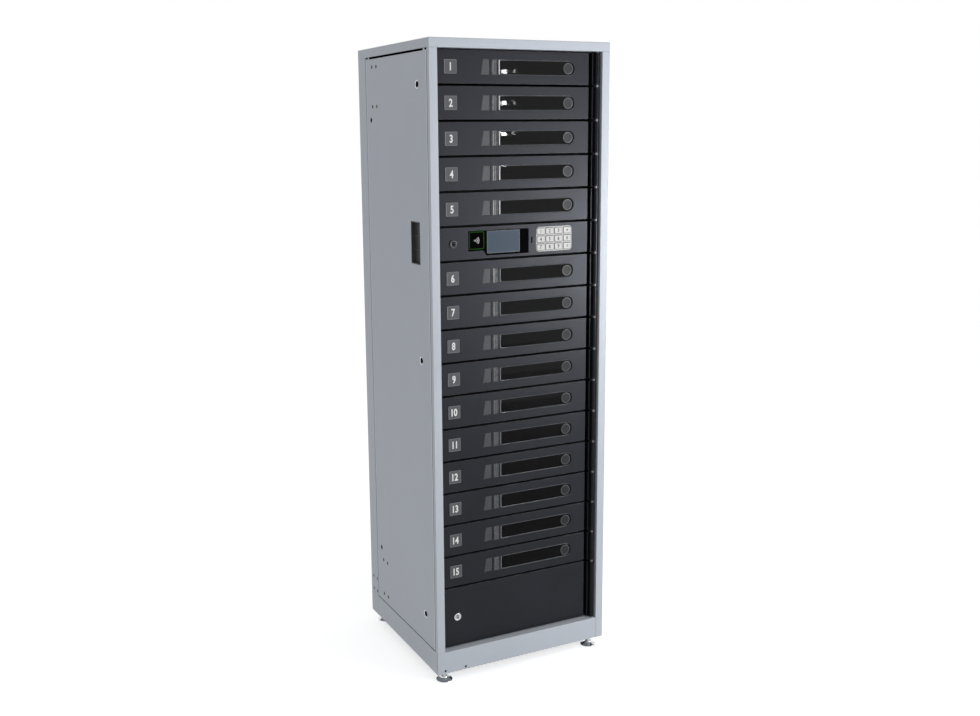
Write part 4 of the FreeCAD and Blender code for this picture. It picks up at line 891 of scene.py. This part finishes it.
# The finishes are those of leaf, striker, lock ring and hinge
def buildLeaf(name, finishes):
    look = doorLook
    whole = bmesh.new()
    pattern = "door_02" if name in bayDoors else name   # the bay doors share one pattern
    for shell in shellsOf(pattern):
        low, high = spanOf(shell.verts)
        wide = high.x - low.x
        if wide > look.leafFrom:
            addPart(whole, soften(shell, look.bend), 0)
        elif high.x > look.hingeFrom:
            addPart(whole, soften(shell, look.hingeBend), 3)
        elif low.x < look.strikerTo:
            addPart(whole, soften(shell, look.strikerEdge), 1)
        elif wide < look.ringTo:
            addPart(whole, soften(shell, look.ringEdge, 3), 2)
        else:
            shell.free()
    ops.translate(whole, verts=whole.verts, vec=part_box(name)[0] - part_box(pattern)[0])
    makePiece(name + ".leaf", whole, name, finishes, [name])


bayDoors = sorted(name for name in nodes if name.startswith("door_") and name[-2:].isdigit())
allDoors = bayDoors + ["control_door", "service_door"]
# the upper rows' window strip has the bright painted reflection, the lower rows the dim one
for number, name in enumerate(bayDoors, 1):
    left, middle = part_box(name)[0].x, centreOf(name).z
    buildLeaf(name, ["doorPaint", "zincPlate", "chromePlate", "hingePaint"])
    buildWindow(name, left, middle, "lightPipe" if number <= windowLook.litRows else "dimPipe")
    buildNumber(name, number, left, middle)
# its lock ring is in the darker chrome copy, as painted shade
buildLeaf("control_door", ["doorPaint", "zincPlate", "darkChrome", "hingePaint"])
buildLeaf("service_door", ["doorPaint", "zincPlate", "chromePlate", "hingePaint"])
print("doors built:", len(allDoors))


# Washers on the hinge rod, one in each gap between barrels
washerLook = sized({"radius": 4.9, "bore": 4.05, "height": 1.8, "edge": 0.4}, {"steps": 32})


def buildWashers():
    look = washerLook
    middle = centreOf("hinge_rod")
    doors = sorted((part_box(name) for name in allDoors), key=lambda box: box[0].z)
    bore, radius, edge, half = look.bore, look.radius, look.edge, look.height / 2
    profile = [(bore, -half), (radius - edge, -half), (radius, -half + edge), (radius, half - edge),
               (radius - edge, half), (bore, half), (bore, -half)]
    whole = bmesh.new()
    for lower, upper in zip(doors, doors[1:]):
        ring = lathe(profile, look.steps)
        ops.remove_doubles(ring, verts=ring.verts, dist=meshLook.weld)
        addPart(whole, closed(ring), 0, (middle.x, middle.y, (lower[1].z + upper[0].z) / 2))
    makePiece("hinge_washers", whole, "cabinet", ["groundSteel"])


buildWashers()
print("washers built")


# Key locks
lockLook = sized(
    {"rim": 1.9, "plugRim": 1.1, "sink": 0.5, "edge": 0.35, "keyway": 3, "headDeep": 0.05},
    {"headFacing": 0.99})


def buildLock(node):
    look = lockLook
    onDoor = not node.startswith("panel")
    outward = Vector((0, -1, 0)) if onDoor else Vector((-1 if "_left_" in node else 1, 0, 0))
    rim = look.plugRim if onDoor else look.rim
    whole = bmesh.new()
    for shell in shellsOf(node):
        soften(shell, look.edge)
        least = max(vert.co.dot(outward) for vert in shell.verts) - look.headDeep
        heads = [face for face in shell.faces if face.normal.dot(outward) > look.headFacing
                 and face.calc_center_median().dot(outward) > least]
        low, high = spanOf([vert for face in heads for vert in face.verts])
        ops.inset_region(shell, faces=heads, thickness=rim, depth=-look.sink, use_even_offset=True)
        for face in heads:
            face.material_index = 1
        # the panel locks are dark all over inside their rim: painted shade
        for face in [] if onDoor else shell.faces:
            offset = face.calc_center_median() - (low + high) / 2
            away = (offset - outward * offset.dot(outward)).length
            if offset.dot(outward) > -look.keyway and away < (high.z - low.z) / 2 - rim:
                face.material_index = 1
        addPart(whole, shell, None)
    # panel locks: lighter chrome ring as a painted highlight, black centre as painted shade; door locks:
    # darker chrome and black as painted shade
    finishes = ["brightChrome", "gapBlack"]
    if onDoor:
        finishes = ["darkChrome", "gapBlack"] if node.startswith("control") else ["chromePlate", "darkChrome"]
    dress(node, whole, node, finishes)


for node in sorted(name for name in nodes if "_lock" in name):
    buildLock(node)
print("locks built")


# Levelling feet: dished pad, threaded stem and lock nut
footLook = sized(
    {"radius": 23, "bevel": 1.2, "round": 2, "roundUp": 2.2, "roundHigh": 1.8, "rim": 4, "dishIn": 2.6,
     "neck": 9, "neckHeight": 12, "neckEdge": 0.8, "stem": 5, "threadGap": 1.4, "thread": 1.5,
     "threadDepth": 0.55, "nut": 9.8, "nutHeight": 6, "nutEdge": 0.7},
    {"roundSteps": 6, "dishPower": 1.7, "dishSteps": 10, "crest": (0.4, 0.6)})


def buildFoot(name):
    look = footLook
    middle, top = centreOf(name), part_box(name)[1].z
    x, y = middle.x, middle.y
    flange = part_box("plinth_rails")[0].z
    radius, neck, neckTop, edge = look.radius, look.neck, look.neckHeight, look.neckEdge
    stem, root, pitch = look.stem, look.stem - look.threadDepth, look.thread
    profile = [(0, 0), (radius - look.bevel, 0), (radius, look.bevel)]
    profile += [(radius - look.round + look.round * cos(a),
                 look.roundUp + look.roundHigh * sin(a)) for a in arc(look.roundSteps, 0, 90)]
    for i in range(1, look.dishSteps + 1):
        share = i / look.dishSteps
        swell = (1 - share) ** look.dishPower
        profile.append((neck + (radius - look.dishIn - neck) * swell,
                        look.rim + (neckTop - look.rim) * share))
    profile += [(neck - edge, neckTop + edge), (root, neckTop + edge)]
    z = neckTop + look.threadGap
    while z < top - pitch:
        profile += [(root, z)] + [(stem, z + pitch * share) for share in look.crest]
        z += pitch
    profile += [(root, top - edge), (0, top)]
    whole = bmesh.new()
    addPart(whole, lathe(profile), 0, (x, y, 0))
    nut = extruded(onArc(x, y, look.nut, arc(6, 0, 360)[:6]), "z", flange - look.nutHeight, flange)
    addPart(whole, soften(nut, look.nutEdge), 1)
    # the pad is in the lighter chrome copy, as a painted highlight
    dress(name, whole, name, ["brightChrome", "zincPlate"])


for name in sorted(name for name in nodes if name.startswith("foot_")):
    buildFoot(name)
print("feet built")


# Control panel: gloss front with reader and screen, and the controller behind it
panelLook = sized(
    {"frontTo": 5, "frontEdge": 0.5, "caseEdge": 0.8, "proud": 0.12, "readerLeft": 4.6, "readerWide": 43.3,
     "readerTop": 1228.5, "readerHigh": 45.9, "readerCorner": 5, "led": 1.8, "waveStart": 2.4,
     "waveStep": 4.6, "waveWidth": 2.1, "waveBack": 6, "waveDot": 1.7,
     "screen": (-95.5, 1171.5, -0.5, 1227.5), "screenCorner": 1, "screenLip": 0.9, "screenRise": 0.06},
    {"waves": 3, "waveTurn": 42})


def ringSector(place, inner, outer, turn, depth, steps=14):
    x, y, z = place
    angles = arc(steps, -turn, 2 * turn)
    return extruded(onArc(x, z, outer, angles) + onArc(x, z, inner, angles[::-1]), "y", y - depth, y)


def buildDisplay():
    look = panelLook
    whole = bmesh.new()
    for shell in shellsOf("display_module"):
        low, high = spanOf(shell.verts)
        isFront = high.y - low.y < look.frontTo
        addPart(whole, soften(shell, look.frontEdge if isFront else look.caseEdge), 0 if isFront else 1)
    low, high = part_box("display_module")
    face, proud = low.y, look.proud
    # reader square with its light line, waves and dot
    left, top = low.x + look.readerLeft, look.readerTop
    right, bottom = left + look.readerWide, top - look.readerHigh
    box = (left, bottom, right, top)
    outer, inner = (roundRect(box, look.readerCorner, inset) for inset in (0, look.led))
    addPart(whole, holedPlate(outer, [inner], face - proud, proud), 2)
    place = ((left + right) / 2 - look.waveBack, face, (bottom + top) / 2)
    for i in range(look.waves):
        start = i * look.waveStep + look.waveStart
        addPart(whole, ringSector(place, start, start + look.waveWidth, look.waveTurn, proud), 3)
    addPart(whole, turned(plug(look.waveDot, 0, proud), "X"), 3, place)
    lip, screen = (roundRect(look.screen, look.screenCorner, inset) for inset in (-look.screenLip, 0))
    addPart(whole, holedPlate(lip, [screen], face - proud, proud), 4)
    addPart(whole, extruded(screen, "y", face, face - look.screenRise), 5)
    dress("display_module", whole, "control_door",
          ["glossFront", "blackPlastic", "ledGreen", "waveWhite", "tileRim", "screenGlass"])


buildDisplay()

# Keypad: rim and keyStop are what is hidden behind the door round the frame and round each key
keypadLook = sized(
    {"rim": 3, "rimCorner": 2, "rimBack": 1.5, "corner": 8, "plate": 2, "proud": 0.5, "edge": 0.35,
     "wall": 0.8, "wallDeep": 8, "boardCorner": 1, "board": 1.6, "keyStop": 0.6, "keyCorner": 3.2,
     "least": 1, "keyGap": 0.5, "bevel": 1.1, "bevelMid": (0.35, 0.3), "flat": 2.4, "dishIn": 3.6,
     "dish": 0.45, "stopBack": 3.5, "plunger": 2.5, "digit": 13, "bold": 0.35, "print": 0.06,
     "enter": (2, 3.4),
     "arrow": ((-3.4, 0), (0.2, 3.2), (0.2, 1.1), (3.4, 1.1), (3.4, -1.1), (0.2, -1.1), (0.2, -3.2))},
    {"narrow": 0.9, "enterTurn": 160})
keySymbols = ["1", "2", "3", "back", "4", "5", "6", "0", "7", "8", "9", "enter"]
keyNodes = sorted(name for name in nodes if name.startswith("key_") and name[-2:].isdigit())


def frontBox(name, inset):
    low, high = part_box(name)
    return low.x + inset, low.z + inset, high.x - inset, high.z - inset


def buildKeypad():
    look = keypadLook
    gap, wall, proud, plateBack = look.keyGap, look.wall, look.proud, doorFace + look.plate
    box, back = frontBox("keypad_frame", look.rim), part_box("keypad_frame")[1].y
    outer = roundRect(box, look.corner)
    holes = [roundRect(frontBox(name, look.keyStop), look.keyCorner, -gap) for name in keyNodes]
    whole = bmesh.new()
    plate = holedPlate(outer, holes, doorFace - proud, look.plate + proud)
    addPart(whole, soften(plate, look.edge), 0)
    addPart(whole, holedPlate(outer, [roundRect(box, look.corner, wall)], plateBack, look.wallDeep), 0)
    rim = roundRect(frontBox("keypad_frame", 0), look.rimCorner)
    addPart(whole, holedPlate(rim, [outer], doorFace + look.rimBack, look.rimBack), 2)
    board = roundRect(box, look.boardCorner)
    addPart(whole, extruded(board, "y", back, back - look.board), 1)
    dress("keypad_frame", whole, "control_door", ["keypadMetal", "boardGreen", "blackPlastic"])


def keyMark(symbol, place):
    look = keypadLook
    x, y, z = place
    if symbol == "back":
        outline = [(x + across, z + up) for across, up in look.arrow]
        return extruded(outline, "y", y - look.print, y)
    if symbol == "enter":
        return ringSector(place, *look.enter, look.enterTurn, look.print, steps=24)
    return printedText(symbol, look.digit, place, look.print, look.bold, look.narrow)


def buildKey(name, symbol):
    look = keypadLook
    box = frontBox(name, look.keyStop)
    middle = centreOf(name)
    y0, y1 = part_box(name)[0].y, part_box(name)[1].y
    bevel, half, stop = look.bevel, look.plunger, doorFace + look.stopBack
    midIn, midDeep = look.bevelMid
    steps = ((0, stop), (0, y0 + bevel), (midIn, y0 + midDeep), (bevel, y0), (look.flat, y0),
             (look.dishIn, y0 + look.dish))
    loops = [facing(roundRect(box, look.keyCorner, inset, look.least), y) for inset, y in steps]
    whole = bmesh.new()
    # the bevel and sides take the dark skirt finish, painted shade round the key
    addPart(whole, loft(loops, [2, 2, 2, 0, 0]), None)
    plunger = rectangle(middle.x - half, middle.z - half, middle.x + half, middle.z + half)
    addPart(whole, extruded(plunger, "y", stop, y1), 0)
    addPart(whole, keyMark(symbol, (middle.x, y0 + look.dish, middle.z)), 1)
    dress(name, whole, name, ["keyTop", "printGrey", "keySkirt"])


buildKeypad()
for name, symbol in zip(keyNodes, keySymbols):
    buildKey(name, symbol)
print("control panel built:", len(keyNodes), "keys")


# Screws in the side panels and the rear panel, with the head's profile as shares of its radius and rise
screwLook = sized(
    {"radius": 5.2, "rise": 0.8, "cross": 4, "crossWidth": 1.3, "crossSink": 0.02, "crossRise": 0.015,
     "panelDeep": (352, 383), "panelUp": (120, 226.5, 1554, 1661), "rearInset": 9, "rearEnd": 14},
    {"head": ((0, 1), (0.45, 1), (0.8, 0.8), (1, 0.25), (1, 0), (0, 0)), "steps": 28, "rearRows": 5})


def setScrew(whole, place, axis, degrees):
    look = screwLook
    rise, wide, long = look.rise, look.crossWidth / 2, look.cross / 2
    head = lathe([(look.radius * out, rise * up) for out, up in look.head], look.steps)
    for x, y in ((wide, long), (long, wide)):
        groove = extruded(rectangle(-x, -y, x, y), "z", rise - look.crossSink, rise + look.crossRise)
        addPart(head, groove, 1)
    addPart(whole, turned(head, axis, degrees), None, place)


def buildScrews():
    look = screwLook
    sides, rear = bmesh.new(), bmesh.new()
    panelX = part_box("left_side_panel")[0].x
    for sign in (-1, 1):
        for deep in look.panelDeep:
            for up in look.panelUp:
                setScrew(sides, (-sign * panelX, front + deep, up), "Y", 90 * sign)
    makePiece("panel_screws", sides, "cabinet", ["darkScrew", "blackPlastic"])
    low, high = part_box("rear_panel")
    span = high.z - low.z - 2 * look.rearEnd
    for x in (low.x + look.rearInset, high.x - look.rearInset):
        for i in range(look.rearRows):
            z = low.z + look.rearEnd + span * i / (look.rearRows - 1)
            setScrew(rear, (x, high.y, z), "X", -90)
    makePiece("rear_screws", rear, "cabinet", ["darkScrew", "blackPlastic"])


buildScrews()
print("screws set")


# Black strips of painted shade in the slit under the cap, in the seams of the side panels and behind open
# holes; hook tabs in the slit; hems of the side panels in a lighter paint as a painted highlight
slitLook = sized(
    {"overlap": 1, "edge": 0.5, "sealIn": 1.6, "deep": 5, "sealEnd": 2, "tabLong": 9, "tabIn": 0.2,
     "tabFront": 14, "tabRear": 16, "tabGap": 2, "seamOut": 0.12, "seamDeep": 2, "seamLow": 1.5,
     "seamHigh": 0.4, "postSeam": 1.3, "postSeamIn": 0.3, "postSeamDeep": 1, "hemHalf": 1.6, "hemRise": 0.5,
     "hemSink": 0.4, "hemIn": 3.6, "hemEnd": 4, "backIn": 2.2},
    {"hemSteps": 8, "hemFoot": 0.01})


def buildSlit():
    look = slitLook
    shadeStrips, tabs, litHems = bmesh.new(), bmesh.new(), bmesh.new()
    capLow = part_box("top_cap")[0].z
    for node, sign in (("left_side_panel", -1), ("right_side_panel", 1)):
        low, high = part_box(node)
        face = low.x if sign < 0 else high.x
        z0, z1 = low.z + look.hemEnd, high.z - look.hemEnd

        def strip(start, deep, low, high):
            x0, x1 = sorted((face - sign * start, face - sign * (start + deep)))
            return rectangle(x0, low, x1, high)

        # a black strip of painted shade inside the slit under the cap
        outline = strip(look.sealIn, look.deep, high.z - look.overlap, capLow)
        shadeStrip = extruded(outline, "y", low.y + look.sealEnd, high.y - look.sealEnd)
        addPart(shadeStrips, soften(shadeStrip, look.edge))
        tabStarts = (low.y + look.tabFront, high.y - look.tabRear - look.tabLong)
        # a black strip of painted shade along the seam under the cap
        out = look.seamOut
        outline = strip(-out, look.seamDeep + out, high.z - look.seamLow, high.z + look.seamHigh)
        addPart(shadeStrips, extruded(outline, "y", tabStarts[0] + look.tabLong + look.tabGap,
                                tabStarts[1] - look.tabGap))
        outline = strip(look.tabIn, look.deep, high.z - look.overlap, capLow)
        for start in tabStarts:
            addPart(tabs, soften(extruded(outline, "y", start, start + look.tabLong), look.edge))
        # dark discs of painted shade behind the open holes
        for sheet in (node, "rear_posts"):
            radius, places = sheetHoles[sheet]
            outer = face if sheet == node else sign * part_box(sheet)[1].x
            x = outer - sign * look.backIn - meshLook.backEdge / 2
            for deep, up in places:
                addPart(shadeStrips, turned(holeBack(radius), "Y"), 0, (x, front + deep, up))
        # beads along the front and rear edges, in the lighter hem paint as a painted highlight
        for middle in (low.y + look.hemIn, high.y - look.hemIn):
            bow = [(-cos(a), sin(a)) for a in arc(look.hemSteps)]
            outline = [(face + sign * (look.hemRise * rise - (look.hemSink if rise < look.hemFoot else 0)),
                        middle + look.hemHalf * along) for along, rise in bow]
            addPart(litHems, extruded(outline, "z", z0, z1))
        # a black strip of painted shade in the seam behind the front post
        seamFront = low.y + look.postSeamIn
        outline = strip(-out, look.postSeamDeep + out, seamFront, seamFront + look.postSeam)
        addPart(shadeStrips, extruded(outline, "z", z0, z1))
    makePiece("slit_shade_strips", shadeStrips, "cabinet", ["gapBlack"])
    makePiece("panel_hem_highlights", litHems, "cabinet", ["hemPaint"])
    makePiece("panel_tabs", tabs, "cabinet", ["silverPaint"])


buildSlit()
print("slit under the cap filled")


# Stage: white floor, studio light and the camera
stageLook = {"size": 30, "cells": 4, "colour": (0.8, 0.8, 0.8, 1), "glow": (0.62, 0.62, 0.62), "ambient": 0.5}
lightLooks = {   # place, target, size and power
    "keyLight": ((2.25, -3.0, 1.15), (0, -0.1, 0.9), (2.4, 2.4), 31),
    "sheenLight": ((2.30, -2.9, 1.0), (0.1, -0.2, 1.1), (0.7, 0.9), 20),
    "sideLight": ((1.02, -1.10, 1.12), (0.25, -0.2, 1.12), (0.35, 0.55), 4.4),
    "glossLight": ((0.82, -1.02, 1.05), (0.22, -0.24, 1.15), (0.22, 0.45), 9.5),
    "fillLight": ((-3.2, -1.6, 2.2), (0, 0, 0.9), (1.6, 2.0), 7),
    "spotStrip": ((1.318, -2.76, 1.63), (-0.045, -0.222, 1.555), (0.026, 0.16), 3.2),
    "thinStrip": ((1.361, -2.73, 1.65), (-0.02, -0.222, 1.555), (0.006, 0.14), 0.22),
}
cameraLook = {"yaw": 26.10, "pitch": -10.37, "roll": -0.57, "focal": 1097.0, "centre": (464.3, 333.8),
              "frame": (980, 716), "sensor": 36.0, "place": (-1.4073, -2.7586, 1.4800)}


# One for rays of the camera, of reflections and through glass, and nothing for the light on surfaces
def seenRays(tree):
    path = addNode(tree, "LightPath").outputs
    seen = math2(tree, "MAXIMUM", path["Is Camera Ray"], path["Is Glossy Ray"])
    return math2(tree, "MAXIMUM", seen, path["Is Transmission Ray"])


def makeFloor():
    part = bmesh.new()
    cells = stageLook["cells"]
    ops.create_grid(part, x_segments=cells, y_segments=cells, size=stageLook["size"])
    floor = linked("floor", meshFrom(part, "floor"))
    plain = {"Base Color": stageLook["colour"], "Roughness": 0.9, "Specular IOR Level": 0.0,
             "Emission Strength": 1.0}
    tree, shader = startMaterial("floorWhite", plain)
    feed(tree, shader, {"Emission Color": tint(tree, (0, 0, 0), stageLook["glow"], seenRays(tree))})
    floor.data.materials.append(bpy.data.materials["floorWhite"])


def makeWorld():
    world = bpy.data.worlds.new("studio")
    bpy.context.scene.world = world
    world.use_nodes = True
    tree = world.node_tree
    sky = tree.nodes["Background"].inputs
    tree.links.new(spread(tree, seenRays(tree), 0.0, 1.0, stageLook["ambient"], 1.0), sky["Strength"])
    sky["Color"].default_value = (1, 1, 1, 1)


def addSoftbox(name, place, target, size, power):
    light = bpy.data.lights.new(name, "AREA")
    light.shape = "RECTANGLE"
    light.size, light.size_y = size
    light.energy = power
    lamp = linked(name, light)
    lamp.location = place
    lamp.rotation_euler = (Vector(target) - Vector(place)).to_track_quat("-Z", "Y").to_euler()
    lamp.visible_camera = False
    lamp.visible_transmission = False
    return lamp


def makeCamera():
    look = cameraLook
    yaw, pitch, roll = (radians(look[key]) for key in ("yaw", "pitch", "roll"))
    ahead = Vector((sin(yaw) * cos(pitch), cos(yaw) * cos(pitch), sin(pitch)))
    side = Vector((cos(yaw), -sin(yaw), 0))
    above = side.cross(ahead)
    right = cos(roll) * side + sin(roll) * above
    up = -sin(roll) * side + cos(roll) * above
    width, height = look["frame"]
    data = bpy.data.cameras.new("camera")
    data.sensor_fit = "HORIZONTAL"
    data.sensor_width = look["sensor"]
    data.lens = look["focal"] / width * look["sensor"]
    data.shift_x = (width / 2 - look["centre"][0]) / width
    data.shift_y = (look["centre"][1] - height / 2) / width
    camera = linked("camera", data)
    axes = Matrix((right, up, -ahead)).transposed().to_4x4()
    camera.matrix_world = Matrix.Translation(Vector(look["place"])) @ axes
    bpy.context.scene.camera = camera


makeFloor()
makeWorld()
lamps = {name: addSoftbox(name, *look) for name, look in lightLooks.items()}
# the gloss light reaches the door leaves only
sheenDoors = bpy.data.collections.new("sheenDoors")
for name in allDoors:
    sheenDoors.objects.link(bpy.data.objects[name + ".leaf"])
lamps["glossLight"].light_linking.receiver_collection = sheenDoors
makeCamera()
bpy.context.scene.view_settings.view_transform = "Standard"
print("stage ready")
